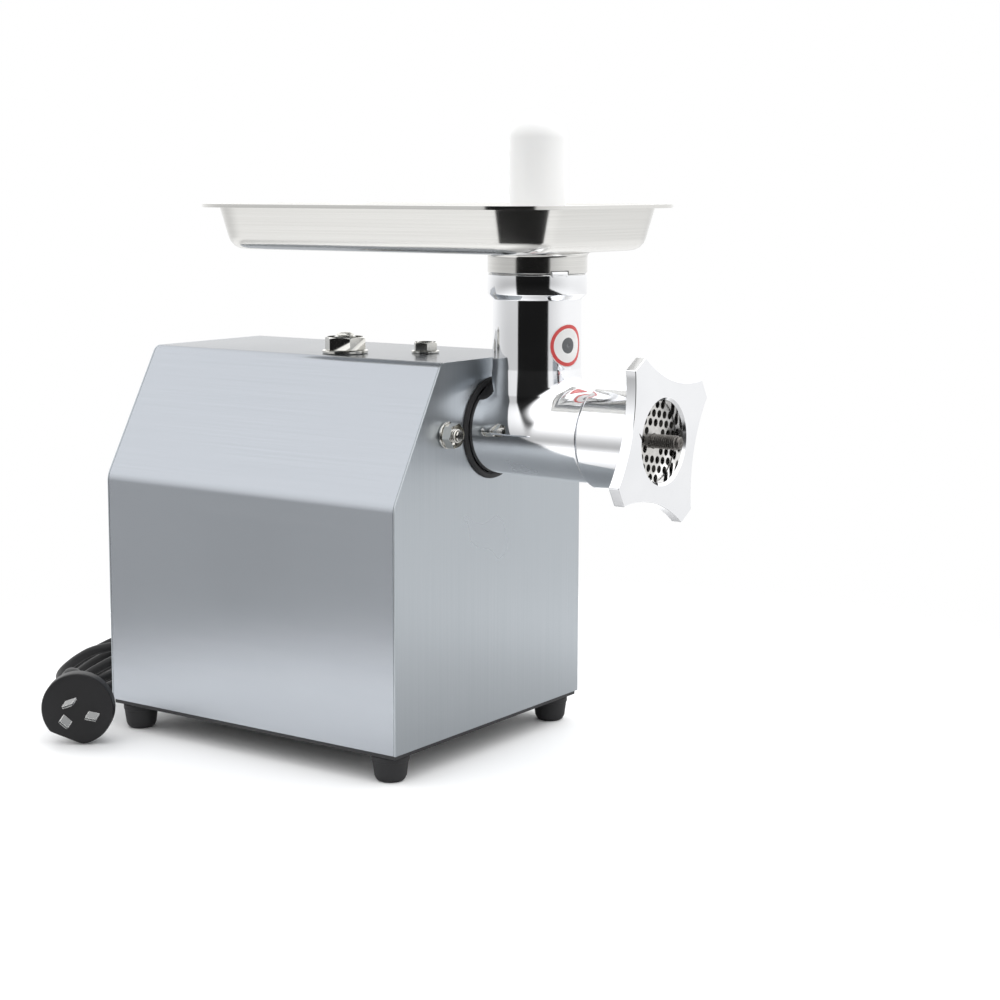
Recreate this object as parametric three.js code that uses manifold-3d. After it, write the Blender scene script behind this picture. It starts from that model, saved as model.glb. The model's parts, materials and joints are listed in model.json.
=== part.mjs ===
// Electric meat grinder: sheet-metal housing, geared motor, cast grinding head, food tray and mains lead.
// Millimetres, +Z up. The outlet faces -Y, the housing runs back along +Y, Z = 0 is the standing surface.
import * as THREE from "three";
import { mergeVertices } from "three/addons/utils/BufferGeometryUtils.js";
import Module from "manifold-3d";

const wasm = await Module();
wasm.setup();

// ---- driving dimensions ----
const GAP = 0.3; // running and assembly clearance between separate pieces
const SHEET = 1.2; // housing sheet thickness
const FRONT = -60; // outer face of the front panel
const BACK = 216; // outer face of the rear panel
const HALF_WIDTH = 117;
const HALF_TOP = 62.4; // half width of the flat top between the sloping shoulders
const SKIRT_Z = 22; // lower edge of the housing sheet
const SHOULDER_Z = 196.6; // where the sloping shoulder starts
const TOP_Z = 292;

const AXIS_Z = 241; // axis of the grinding barrel
const TUBE_Y = -98; // axis of the upright feed tube
const BARREL_R = 33.4;
const SPIGOT_R = 32.5;
const BORE_R = 26;
const SPIGOT_END = 4;
const BARREL_END = -191;
const THREAD_START = -151.5;
const TUBE_R = 31.6;
const TUBE_BORE = 26.5;
const COLLAR_R = 35.3;
const COLLAR_Z = [338.5, 353.5];

const PLATE_R = 31;
const PLATE_Y = [-194.7, -186.6];
const RING_FACE = -203;
const RING_THICK = 8;
const RING_TIP_R = 64.8;
const RING_VALLEY_R = 43;
const RING_OPENING_R = 28.6;
const RING_SKIRT_R = 36.7;
const SPINDLE_END = -216;

const TRAY_RIM_Z = 401.6;
const TRAY_FLOOR_Z = 368;
const TRAY_HALF_WIDTH = 105;
const TRAY_Y = [-168, 153];
const TRAY_CORNER_R = 50;
const PLUNGER_R = 20;
const PLUNGER_TOP = 468;

const STAGE1_MODULE = 1.5;
const STAGE1_PINION = 16;
const STAGE1_GEAR = 52;
const STAGE2_MODULE = 2;
const STAGE2_PINION = 16;
const STAGE2_GEAR = 36;
const IDLER_Z = AXIS_Z - (STAGE2_MODULE * (STAGE2_PINION + STAGE2_GEAR)) / 2;
const MOTOR_Z = IDLER_Z - (STAGE1_MODULE * (STAGE1_PINION + STAGE1_GEAR)) / 2;
const MOTOR_R = 60;

const STUD_X = 57.5;
const LOCK_BOLT_Y = 1;
const OIL_PLUG = { x: -36, y: 48 };
const GLAND = { x: 30, z: 60 };
const CORD_D = 7.5;
const COIL = { x: -70, y: 260.5, z: 35.3, tilt: 35, radius: 40 };
const PLUG = { x: -170, y: 199, z: 27.2, yaw: -53.13 };

// ---- finishes ----
const finish = (color, roughness, metalness) => () =>
  new THREE.MeshStandardMaterial({ color, roughness, metalness });
const brushedSteel = finish(0xb9bdc0, 0.32, 1);
const polishedCasting = finish(0xd2d4d6, 0.14, 1);
const zincSteel = finish(0xc4c3bd, 0.3, 1);
const toolSteel = finish(0x8d8983, 0.4, 1);
const greyIron = finish(0x6d7072, 0.6, 0.8);
const blackPaint = finish(0x16171a, 0.5, 0.2);
const blackRubber = finish(0x111214, 0.75, 0);
const whiteNylon = finish(0xeeeeec, 0.4, 0);
const blackPlastic = finish(0x1a1a1c, 0.45, 0);
const redPlastic = finish(0xb51f1c, 0.4, 0);

// ---- solids ----
// Turns a closed three.js geometry into a manifold solid, with its faces pointing out.
function solid(geometry) {
  const bare = geometry.index ? geometry.toNonIndexed() : geometry.clone();
  bare.deleteAttribute("normal");
  bare.deleteAttribute("uv");
  const merged = mergeVertices(bare, 1e-4);
  const at = merged.attributes.position;
  const corner = (k) => new THREE.Vector3().fromBufferAttribute(at, k);
  const faces = [];
  let volume = 0;
  for (let k = 0; k < merged.index.count; k += 3) {
    const [a, b, c] = [0, 1, 2].map((n) => merged.index.getX(k + n));
    if (a === b || b === c || c === a) continue;
    faces.push([a, b, c]);
    volume += corner(a).dot(corner(b).cross(corner(c)));
  }
  const triVerts = new Uint32Array(faces.flatMap((f) => (volume < 0 ? [f[0], f[2], f[1]] : f)));
  const vertProperties = new Float32Array(at.array);
  return new wasm.Manifold(new wasm.Mesh({ numProp: 3, vertProperties, triVerts }));
}

function meshOf(body) {
  const { vertProperties, triVerts } = body.getMesh();
  const geometry = new THREE.BufferGeometry();
  geometry.setAttribute("position", new THREE.BufferAttribute(vertProperties, 3));
  geometry.setIndex(new THREE.BufferAttribute(triVerts, 1));
  geometry.computeVertexNormals();
  return geometry;
}

const join = (first, ...rest) => rest.reduce((sum, next) => sum.add(next), first);
const cut = (first, ...rest) => rest.reduce((left, next) => left.subtract(next), first);

// Revolved about the Y direction through (x, z); profile points are [radius, y].
function turnedY(profile, sides, x = 0, z = 0) {
  const points = profile.map(([r, y]) => new THREE.Vector2(r, y));
  return solid(new THREE.LatheGeometry(points, sides).translate(x, 0, z));
}

// Revolved about the Z direction through (x, y); profile points are [radius, z].
function turnedZ(profile, sides, x = 0, y = 0) {
  const points = profile.map(([r, z]) => new THREE.Vector2(r, z));
  return solid(new THREE.LatheGeometry(points, sides).rotateX(Math.PI / 2).translate(x, y, 0));
}

const rodY = (r, y0, y1, sides, x = 0, z = 0) => turnedY([[0, y0], [r, y0], [r, y1], [0, y1]], sides, x, z);
const rodZ = (r, z0, z1, sides, x = 0, y = 0) => turnedZ([[0, z0], [r, z0], [r, z1], [0, z1]], sides, x, y);

function pipeY(r, bore, y0, y1, sides, x = 0, z = 0) {
  return turnedY([[bore, y0], [r, y0], [r, y1], [bore, y1], [bore, y0]], sides, x, z);
}

// A flat outline in X and Z, drawn out along Y from y0 to y1.
function slabY(shape, y0, y1, curveSegments = 8) {
  const options = { depth: y1 - y0, bevelEnabled: false, curveSegments };
  return solid(new THREE.ExtrudeGeometry(shape, options).rotateX(Math.PI / 2).translate(0, y1, 0));
}

function slabZ(shape, z0, z1, curveSegments = 8) {
  const options = { depth: z1 - z0, bevelEnabled: false, curveSegments };
  return solid(new THREE.ExtrudeGeometry(shape, options).translate(0, 0, z0));
}

function block(x0, x1, y0, y1, z0, z1) {
  const box = new THREE.BoxGeometry(x1 - x0, y1 - y0, z1 - z0);
  return solid(box.translate((x0 + x1) / 2, (y0 + y1) / 2, (z0 + z1) / 2));
}

const outline = (points) => new THREE.Shape(points.map(([x, y]) => new THREE.Vector2(x, y)));
const polar = (r, a) => [r * Math.cos(a), r * Math.sin(a)];

function hexagon(acrossFlats) {
  const corners = Array.from({ length: 6 }, (_, k) => polar(acrossFlats / Math.sqrt(3), (k * Math.PI) / 3));
  return outline(corners);
}

// A hexagon with its corners turned off by a cone at one or both ends, as on a nut or bolt head.
function hexHead(acrossFlats, height, bothEnds) {
  const corner = acrossFlats / Math.sqrt(3);
  const bevel = 0.8;
  const blank = slabZ(hexagon(acrossFlats), 0, height);
  const lower = bothEnds ? [[acrossFlats / 2, 0], [corner, bevel]] : [[corner, 0]];
  const round = [[0, 0], ...lower, [corner, height - bevel], [acrossFlats / 2, height], [0, height]];
  return blank.intersect(turnedZ(round, 12).rotate(0, 0, 15));
}

// Spur gear outline with straight-sided teeth through the involute's root and tip points. A tooth points
// straight up or, when spaceDown, a tooth space points straight down, so that a pair meshes at rest.
function gearOutline(teeth, module, spaceDown) {
  const pressure = THREE.MathUtils.degToRad(20);
  const pitch = (teeth * module) / 2;
  const base = pitch * Math.cos(pressure);
  const root = pitch - 1.25 * module;
  const tip = pitch + 0.92 * module;
  const involute = (r) => {
    const a = Math.acos(Math.min(1, base / r));
    return Math.tan(a) - a;
  };
  const backlash = 0.14;
  const half = Math.PI / 2 / teeth - backlash / pitch + involute(pitch);
  const flank = [[root, half - involute(Math.max(base, root))], [tip, half - involute(tip)]];
  if (base > root + 0.2 * module) flank.splice(1, 0, [base, half]);
  const start = spaceDown ? -Math.PI / 2 + Math.PI / teeth : Math.PI / 2;
  const points = [];
  for (let k = 0; k < teeth; k += 1) {
    const centre = start + (2 * Math.PI * k) / teeth;
    flank.forEach(([r, a]) => points.push(polar(r, centre - a)));
    flank.toReversed().forEach(([r, a]) => points.push(polar(r, centre + a)));
  }
  return outline(points);
}

function gear(teeth, module, spaceDown, y0, y1, z) {
  return slabY(gearOutline(teeth, module, spaceDown), y0, y1).translate(0, 0, z);
}

const grinder = new THREE.Group();

function part(name, body, material, parent = grinder) {
  const mesh = new THREE.Mesh(meshOf(body), material());
  mesh.name = name;
  parent.add(mesh);
  return mesh;
}

// ---- housing ----
// Five-sided section of the housing, inset all round by the given amount and open to the floor.
function housingSection(inset, bottom) {
  const slope = Math.hypot(HALF_WIDTH - HALF_TOP, TOP_Z - SHOULDER_Z);
  const run = (HALF_WIDTH - HALF_TOP) / slope;
  const rise = (TOP_Z - SHOULDER_Z) / slope;
  const side = HALF_WIDTH - inset;
  const shoulder = SHOULDER_Z - (inset * (1 - rise)) / run;
  const top = HALF_TOP - (inset * (1 - run)) / rise;
  const right = [[side, bottom], [side, shoulder], [top, TOP_Z - inset]];
  return outline([...right, ...right.toReversed().map(([x, z]) => [-x, z])]);
}

const SLOPE_TURN = Math.atan2(TOP_Z - SHOULDER_Z, HALF_WIDTH - HALF_TOP);
const SLOPE_CENTRE = [(HALF_WIDTH + HALF_TOP) / 2, (TOP_Z + SHOULDER_Z) / 2];
const SWITCH_Y = 20;
const RESET_Y = 62;

// Places a solid made in the right shoulder's own frame: local Z stands out of the sloping sheet.
function onSlope(body, y) {
  const turn = THREE.MathUtils.radToDeg(SLOPE_TURN);
  return body.rotate(0, turn, 0).translate(SLOPE_CENTRE[0], y, SLOPE_CENTRE[1]);
}

function housingCover() {
  const y0 = FRONT + SHEET + GAP;
  const y1 = BACK - SHEET - GAP;
  const shell = cut(
    slabY(housingSection(0, SKIRT_Z), y0, y1),
    slabY(housingSection(SHEET, SKIRT_Z - 1), y0 - 1, y1 + 1),
    rodZ(5.6, TOP_Z - 5, TOP_Z + 5, 24, 0, LOCK_BOLT_Y),
    rodZ(8.6, TOP_Z - 5, TOP_Z + 5, 24, OIL_PLUG.x, OIL_PLUG.y),
    onSlope(block(-14, 14, -9.8, 9.8, -5, 5), SWITCH_Y),
    onSlope(rodZ(6.6, -5, 5, 24), RESET_Y),
  );
  part("housing_cover", shell, brushedSteel);
}

function frontPanel() {
  const holes = [-STUD_X, STUD_X].map((x) => rodY(5.6, FRONT - 5, FRONT + 5, 20, x, AXIS_Z));
  const sheet = slabY(housingSection(0, SKIRT_Z), FRONT, FRONT + SHEET);
  part("front_panel", cut(sheet, rodY(35.5, FRONT - 5, FRONT + 5, 48, 0, AXIS_Z), ...holes), brushedSteel);
  const seal = [[33, 1.6], [36.6, 1.6], [37, GAP], [35.2, GAP], [35.2, -1.5], [33, -1.5], [33, 1.6]];
  part("barrel_seal_ring", turnedY(seal.map(([r, out]) => [r, FRONT - out]), 36, 0, AXIS_Z), blackRubber);
}

function rearPanel() {
  const slots = [];
  for (let row = 0; row < 9; row += 1) {
    const z = MOTOR_Z + (row - 4) * 11;
    const half = Math.sqrt(50 * 50 - (z - MOTOR_Z) ** 2);
    slots.push(block(-half, half, BACK - 5, BACK + 5, z - 2, z + 2));
  }
  const sheet = slabY(housingSection(0, SKIRT_Z), BACK - SHEET, BACK);
  const glandHole = rodY(7, BACK - 5, BACK + 5, 24, GLAND.x, GLAND.z);
  part("rear_panel", cut(sheet, glandHole, ...slots), brushedSteel);
}

function basePlate() {
  const side = HALF_WIDTH - SHEET - GAP;
  const [y0, y1] = [FRONT + SHEET + GAP, BACK - SHEET - GAP];
  const wall = 2;
  const under = 18.7;
  const pan = cut(
    block(-side, side, y0, y1, under, SKIRT_Z + 12),
    block(-side + wall, side - wall, y0 + wall, y1 - wall, under + 2.5, SKIRT_Z + 20),
  );
  part("base_plate", pan, blackPaint);
  const places = { front_left: [-1, FRONT + 16], front_right: [1, FRONT + 16] };
  Object.assign(places, { rear_left: [-1, BACK - 16], rear_right: [1, BACK - 16] });
  const profile = [[0, 5], [4, 5], [4, 0], [9.8, 0], [11.2, 1.4], [13.4, under - GAP], [0, under - GAP]];
  for (const [corner, [side_, y]] of Object.entries(places)) {
    part(`foot_${corner}`, turnedZ(profile, 16, side_ * (HALF_WIDTH - 15), y), blackRubber);
  }
}

function topHardware() {
  const washer = (r, bore, z0, z1, x, y) => cut(rodZ(r, z0, z1, 24, x, y), rodZ(bore, z0 - 1, z1 + 1, 16, x, y));
  const lockWasher = [TOP_Z + GAP, TOP_Z + 2];
  part("lock_bolt_washer", washer(10.4, 5.4, ...lockWasher, 0, LOCK_BOLT_Y), zincSteel);
  const lockHead = hexHead(16, 6, false).rotate(0, 0, 14).translate(0, LOCK_BOLT_Y, lockWasher[1] + GAP);
  const lockShank = rodZ(5, AXIS_Z + 34, lockWasher[1] + 2, 12, 0, LOCK_BOLT_Y);
  part("head_lock_bolt", join(lockHead, lockShank), zincSteel);

  const { x, y } = OIL_PLUG;
  const oilWasher = [TOP_Z + GAP, TOP_Z + 2.6];
  part("oil_plug_washer", washer(17, 8.4, ...oilWasher, x, y), zincSteel);
  const nutTop = oilWasher[1] + GAP + 9.5;
  const crown = [[0, nutTop - 1], [6.4, nutTop - 1], [6.4, nutTop + 1.5], [5, nutTop + 3], [0, nutTop + 3.6]];
  const oilHead = hexHead(27, 9.5, false).rotate(0, 0, 22).translate(x, y, oilWasher[1] + GAP);
  const oilShank = rodZ(8, TOP_Z - 16, oilWasher[1] + 2, 14, x, y);
  part("oil_filler_plug", join(oilHead, oilShank, turnedZ(crown, 20, x, y)), zincSteel);
}

function frontStuds() {
  for (const [side, x] of [["left", -STUD_X], ["right", STUD_X]]) {
    const stud = [[0, FRONT + 9], [4.9, FRONT + 9], [4.9, FRONT - 11.6], [4, FRONT - 12.5], [0, FRONT - 12.5]];
    part(`front_stud_${side}`, turnedY(stud, 14, x, AXIS_Z), zincSteel);
    part(`front_washer_${side}`, pipeY(9.6, 5.2, FRONT - 2.1, FRONT - GAP, 20, x, AXIS_Z), zincSteel);
    const nut = hexHead(16, 7.6, true).rotate(90, 0, 0).rotate(0, 20, 0).translate(x, FRONT - 2.4, AXIS_Z);
    part(`front_nut_${side}`, cut(nut, rodY(5.2, FRONT - 20, FRONT, 14, x, AXIS_Z)), zincSteel);
  }
}

// ---- switch and overload reset on the right shoulder ----
function controls() {
  const bezel = block(-15.5, 15.5, -11, 11, GAP, 2.3);
  const barrel = block(-13.6, 13.6, -9.4, 9.4, -22, 1);
  const well = block(-12.9, 12.9, -7.2, 7.2, -10, 5);
  part("switch_body", onSlope(cut(join(bezel, barrel), well), SWITCH_Y), blackPlastic);
  const rocker = outline([[-12, 3.2], [0, 1.4], [12, 3.2], [11.6, -2], [3, -5], [-3, -5], [-11.6, -2]]);
  const paddle = slabY(rocker, -6.8, 6.8).rotate(0, -10, 0).translate(0, 0, 1.5);
  part("switch_rocker", onSlope(paddle, SWITCH_Y), redPlastic);

  const nutRing = turnedZ([[4.9, GAP], [9, GAP], [9, 1.6], [7.8, 2.6], [4.9, 2.6], [4.9, GAP]], 20);
  const can = cut(rodZ(6.3, -24, 1, 20), rodZ(4.9, -9, 5, 20));
  part("reset_breaker", onSlope(join(nutRing, can), RESET_Y), blackPlastic);
  const button = turnedZ([[0, -6], [4.5, -6], [4.5, 5], [3.4, 6], [0, 6]], 16);
  part("reset_button", onSlope(button, RESET_Y), redPlastic);
}

// ---- grinding head ----
function headBarrel() {
  const profile = [
    [0, SPIGOT_END], [SPIGOT_R, SPIGOT_END], [SPIGOT_R, FRONT], [BARREL_R, THREAD_START],
    [BARREL_R, BARREL_END], [0, BARREL_END],
  ];
  const barrel = turnedY(profile, 40, 0, AXIS_Z);
  const tubeProfile = [
    [0, AXIS_Z], [TUBE_R + 1.4, AXIS_Z], [TUBE_R + 1.4, AXIS_Z + 28], [TUBE_R, AXIS_Z + 46],
    [TUBE_R, COLLAR_Z[0] - 3], [COLLAR_R, COLLAR_Z[0] + 1], [COLLAR_R, COLLAR_Z[1]], [0, COLLAR_Z[1]],
  ];
  const tube = turnedZ(tubeProfile, 40, 0, TUBE_Y);
  const lug = block(COLLAR_R - 3, COLLAR_R - 0.3, -6.5, 6.5, COLLAR_Z[1] - 2, COLLAR_Z[1] + 2.4);
  const bore = turnedY([
    [0, -8], [BORE_R, -8], [BORE_R, -172], [29.3, -173], [29.3, -186.3],
    [PLATE_R + GAP, -186.3], [PLATE_R + GAP, BARREL_END - 1], [0, BARREL_END - 1],
  ], 40, 0, AXIS_Z);
  const bodyCast = cut(
    join(barrel, tube, lug.rotate(0, 0, -120).translate(0, TUBE_Y, 0)),
    bore,
    rodY(12.9, -10, SPIGOT_END + 1, 20, 0, AXIS_Z),
    rodZ(TUBE_BORE, AXIS_Z, COLLAR_Z[1] + 1, 36, 0, TUBE_Y),
    rodX(2.1, -40, -29, -188.8, AXIS_Z),
  );
  part("head_barrel", bodyCast, polishedCasting);
  part("plate_key_pin", rodX(1.8, -33.1, -28.4, -188.8, AXIS_Z), toolSteel);
}

function rodX(r, x0, x1, y, z) {
  return rodY(r, -x1, -x0, 12).rotate(0, 0, 90).translate(0, y, z);
}

// Single-start screw: a core with one fin, extruded along the axis and twisted once per pitch.
function auger() {
  const pitch = 36;
  const [y0, y1] = [-165, -22];
  const steps = 30;
  const fin = THREE.MathUtils.degToRad(26);
  const core = 10.5;
  const points = [];
  for (let k = -1; k <= 1; k += 1) points.push(polar(25.2, fin * k));
  for (let k = 0; k < 6; k += 1) points.push(polar(core, fin * 1.3 + ((2 * Math.PI - fin * 2.6) * k) / 5));
  const geometry = new THREE.ExtrudeGeometry(outline(points), { depth: y1 - y0, steps, bevelEnabled: false });
  const at = geometry.attributes.position;
  const point = new THREE.Vector3();
  for (let k = 0; k < at.count; k += 1) {
    point.fromBufferAttribute(at, k);
    point.applyAxisAngle(new THREE.Vector3(0, 0, 1), (2 * Math.PI * point.z) / pitch);
    at.setXYZ(k, point.x, point.y, point.z);
  }
  const flight = solid(geometry.rotateX(Math.PI / 2).translate(0, y1, AXIS_Z));
  const shank = turnedY([
    [0, SPIGOT_END], [12.6, SPIGOT_END], [12.6, -9.9], [22, -9.9], [24, -13], [22, -22.5], [10, -30], [0, -30],
  ], 24, 0, AXIS_Z);
  const tang = block(-7, 7, SPIGOT_END - 1, 22, AXIS_Z - 7, AXIS_Z + 7);
  const nose = rodY(12, -169, -160, 16, 0, AXIS_Z);
  const body = cut(join(flight, shank, tang, nose), rodY(5.3, -171, -148, 12, 0, AXIS_Z));
  part("auger", body, polishedCasting);
  part("auger_thrust_washer", pipeY(22, 12.9, -9.6, -8.3, 24, 0, AXIS_Z), toolSteel);

  const spindle = join(
    rodY(5, SPINDLE_END + 1, -148.5, 16, 0, AXIS_Z),
    block(-5.6, 5.6, -185.4, -169.3, AXIS_Z - 5.6, AXIS_Z + 5.6),
    turnedY([[0, SPINDLE_END], [4, SPINDLE_END], [5, SPINDLE_END + 1], [0, SPINDLE_END + 1.5]], 16, 0, AXIS_Z),
  );
  part("auger_spindle", spindle, toolSteel);
}

// Four sickle blades round a square-holed hub; the blades sweep against the turning direction.
function crossKnife() {
  const points = [];
  for (let blade = 0; blade < 4; blade += 1) {
    const turn = (blade * Math.PI) / 2;
    points.push(polar(11, turn - 0.75));
    points.push(polar(19, turn - 0.45));
    points.push(polar(28.4, turn + 0.1));
    points.push(polar(27.2, turn + 0.42));
    points.push(polar(20, turn + 0.2));
    points.push(polar(13.5, turn + 0.28));
  }
  const blades = slabY(outline(points), -186.2, -178.5).translate(0, 0, AXIS_Z);
  const hub = rodY(11.8, -186.2, -174.5, 24, 0, AXIS_Z);
  const hole = block(-6, 6, -190, -170, AXIS_Z - 6, AXIS_Z + 6);
  part("cross_knife", cut(join(blades, hub), hole), toolSteel);
}

function cuttingPlate() {
  const holes = [];
  const rings = [[10.6, 8], [17.2, 14], [24, 20]];
  for (const [radius, count] of rings) {
    for (let k = 0; k < count; k += 1) {
      const [x, z] = polar(radius, (2 * Math.PI * (k + 0.5)) / count);
      holes.push(rodY(2.7, PLATE_Y[0] - 1, PLATE_Y[1] + 1, 6, x, AXIS_Z + z));
    }
  }
  const notch = block(-PLATE_R - 1, -27.4, PLATE_Y[0] - 1, PLATE_Y[1] + 1, AXIS_Z - 2.6, AXIS_Z + 2.6);
  const disc = cut(rodY(PLATE_R, ...PLATE_Y, 40, 0, AXIS_Z), rodY(5.4, -200, -180, 14, 0, AXIS_Z), notch, ...holes);
  part("cutting_plate", disc, toolSteel);
}

// Four flat-tipped lobes joined by hollow arcs, screwed onto the barrel by a plain skirt behind.
function ringNut() {
  const points = [];
  const tipHalf = THREE.MathUtils.degToRad(7);
  const arcSteps = 8;
  for (let lobe = 0; lobe < 4; lobe += 1) {
    const centre = THREE.MathUtils.degToRad(30 + 90 * lobe);
    const a = polar(RING_TIP_R, centre - tipHalf);
    const b = polar(RING_TIP_R, centre + tipHalf);
    points.push(a, b);
    const c = polar(RING_TIP_R, centre + Math.PI / 2 - tipHalf);
    const middle = polar(RING_VALLEY_R, centre + Math.PI / 4);
    for (let k = 1; k < arcSteps; k += 1) {
      const s = k / arcSteps;
      const bow = Math.sin(Math.PI * s) ** 0.8;
      const flat = [b[0] + (c[0] - b[0]) * s, b[1] + (c[1] - b[1]) * s];
      const chordMid = [(b[0] + c[0]) / 2, (b[1] + c[1]) / 2];
      points.push([flat[0] + (middle[0] - chordMid[0]) * bow, flat[1] + (middle[1] - chordMid[1]) * bow]);
    }
  }
  const star = slabY(outline(points), RING_FACE, RING_FACE + RING_THICK).translate(0, 0, AXIS_Z);
  const skirt = rodY(RING_SKIRT_R, RING_FACE + 1, THREAD_START - 2.5, 40, 0, AXIS_Z);
  const bore = turnedY([
    [0, RING_FACE - 1], [RING_OPENING_R + 2, RING_FACE - 1], [RING_OPENING_R, RING_FACE + 1.6],
    [RING_OPENING_R, RING_FACE + RING_THICK], [BARREL_R + 0.4, RING_FACE + RING_THICK],
    [BARREL_R + 0.4, THREAD_START + 5], [0, THREAD_START + 5],
  ], 40, 0, AXIS_Z);
  part("ring_nut", cut(join(star, skirt), bore), polishedCasting);
}

// ---- tray and plunger ----
// One closed ring of points round the pan, inset from the rim edge, at height z.
function trayRing(inset, z) {
  const corner = Math.max(TRAY_CORNER_R - inset, 8);
  const hx = TRAY_HALF_WIDTH - inset - corner;
  const [y0, y1] = [TRAY_Y[0] + inset + corner, TRAY_Y[1] - inset - corner];
  const centres = [[hx, y1], [-hx, y1], [-hx, y0], [hx, y0]];
  const ring = [];
  const perCorner = 5;
  for (const [quarter, [cx, cy]] of centres.entries()) {
    for (let k = 0; k <= perCorner; k += 1) {
      const [dx, dy] = polar(corner, ((quarter + k / perCorner) * Math.PI) / 2);
      ring.push(new THREE.Vector3(cx + dx, cy + dy, z));
    }
  }
  return ring;
}

// Skins a stack of rings with the same number of points and closes its first and last ring.
function loft(rings) {
  const count = rings[0].length;
  const positions = rings.flat().flatMap((p) => [p.x, p.y, p.z]);
  const index = [];
  for (let r = 0; r + 1 < rings.length; r += 1) {
    for (let k = 0; k < count; k += 1) {
      const [a, b] = [r * count + k, r * count + ((k + 1) % count)];
      index.push(a, b, b + count, a, b + count, a + count);
    }
  }
  const last = (rings.length - 1) * count;
  for (let k = 1; k + 1 < count; k += 1) {
    index.push(0, k + 1, k);
    index.push(last, last + k, last + k + 1);
  }
  const geometry = new THREE.BufferGeometry();
  geometry.setAttribute("position", new THREE.Float32BufferAttribute(positions, 3));
  geometry.setIndex(index);
  return solid(geometry);
}

function tray() {
  const floor = TRAY_FLOOR_Z;
  const rim = TRAY_RIM_Z;
  const outside = [[32, floor], [24.5, floor + 1.8], [19.4, floor + 8], [12.6, rim - 2.4]];
  const inside = [[14, rim], [20.8, floor + 8.8], [25.6, floor + 3], [33, floor + 1.2]];
  const rimEdge = [[0, rim - 2.4], [0, rim]];
  const pan = loft([...outside, ...rimEdge, ...inside].map(([inset, z]) => trayRing(inset, z)));
  part("tray", cut(pan, rodZ(24.9, floor - 5, floor + 5, 36, 0, TUBE_Y)), brushedSteel);
  const neck = turnedZ([
    [24, floor - 22], [TUBE_BORE - GAP, floor - 22], [TUBE_BORE - GAP, COLLAR_Z[1] + GAP],
    [COLLAR_R, COLLAR_Z[1] + GAP], [COLLAR_R, floor - GAP], [24, floor - GAP], [24, floor - 22],
  ], 40, 0, TUBE_Y);
  const notch = block(COLLAR_R - 3.5, COLLAR_R + 2, -7, 7, COLLAR_Z[1] - 1, COLLAR_Z[1] + 2.8);
  part("tray_neck", cut(neck, notch.rotate(0, 0, -120).translate(0, TUBE_Y, 0)), brushedSteel);
}

function plunger() {
  const bottom = AXIS_Z + 25.2 + GAP;
  const r = PLUNGER_R;
  const dome = [0.3, 0.58, 0.8, 0.95].map((s) => [r * Math.sqrt(1 - s * s), PLUNGER_TOP - r + r * s]);
  const rod = [[0, bottom], [r - 1.5, bottom], [r, bottom + 1.5], [r, PLUNGER_TOP - r], ...dome, [0, PLUNGER_TOP]];
  part("plunger", turnedZ(rod, 32, 0, TUBE_Y), whiteNylon);
}

// ---- gearbox ----
const CASE = { halfWidth: 50, z0: 118, z1: 286, y0: 8, y1: 66 };

function roundedPlate(halfWidth, z0, z1, corner) {
  const shape = new THREE.Shape();
  const w = halfWidth;
  shape.moveTo(-w + corner, z0);
  shape.absarc(w - corner, z0 + corner, corner, -Math.PI / 2, 0);
  shape.absarc(w - corner, z1 - corner, corner, 0, Math.PI / 2);
  shape.absarc(-w + corner, z1 - corner, corner, Math.PI / 2, Math.PI);
  shape.absarc(-w + corner, z0 + corner, corner, Math.PI, 1.5 * Math.PI);
  return shape;
}

function gearbox() {
  const { halfWidth, z0, z1, y0, y1 } = CASE;
  const wall = 5;
  const flangeY = FRONT + SHEET + GAP;
  const ears = roundedPlate(STUD_X + 11, AXIS_Z - 14, AXIS_Z + 14, 12);
  const outside = join(
    slabY(roundedPlate(halfWidth, z0, z1, 8), y0, y1, 3),
    rodY(42, flangeY, y0 + 1, 28, 0, AXIS_Z),
    rodY(46, flangeY, flangeY + 8, 28, 0, AXIS_Z),
    slabY(ears, flangeY, flangeY + 8, 3),
  );
  const cavity = slabY(roundedPlate(halfWidth - wall, z0 + wall, z1 - wall, 5), y0 + 8, y1 + 1, 2);
  const bosses = join(rodY(33, y0 + 1, y0 + 13, 24, 0, AXIS_Z), rodY(14, y0 + 1, y0 + 13, 16, 0, IDLER_Z));
  const holes = [
    rodY(SPIGOT_R + GAP, flangeY - 1, y0 - 2, 40, 0, AXIS_Z),
    rodY(27.3, y0 - 3, y0 + 14, 24, 0, AXIS_Z),
    rodY(8.3, y0 + 3, y0 + 14, 14, 0, IDLER_Z),
    rodZ(5.4, AXIS_Z + 25, z1 + 1, 12, 0, LOCK_BOLT_Y),
    rodZ(8.4, z1 - 10, z1 + 1, 14, OIL_PLUG.x, OIL_PLUG.y),
    rodY(5.2, flangeY - 1, flangeY + 9, 14, -STUD_X, AXIS_Z),
    rodY(5.2, flangeY - 1, flangeY + 9, 14, STUD_X, AXIS_Z),
  ];
  part("gearbox_body", cut(join(cut(outside, cavity), bosses), ...holes), greyIron);

  const [c0, c1] = [y1 + GAP, y1 + 8 + GAP];
  const coverPlate = join(
    slabY(roundedPlate(halfWidth, z0, z1, 8), c0, c1, 3),
    rodY(MOTOR_R, c0, c1, 32, 0, MOTOR_Z),
  );
  part("gearbox_cover", cut(
    coverPlate,
    rodY(16.3, c0 - 1, c1 - 1, 24, 0, AXIS_Z),
    rodY(8.3, c0 - 1, c1 - 1, 20, 0, IDLER_Z),
    rodY(16.3, c0 - 1, c1 + 1, 24, 0, MOTOR_Z),
  ), greyIron);
}

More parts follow.
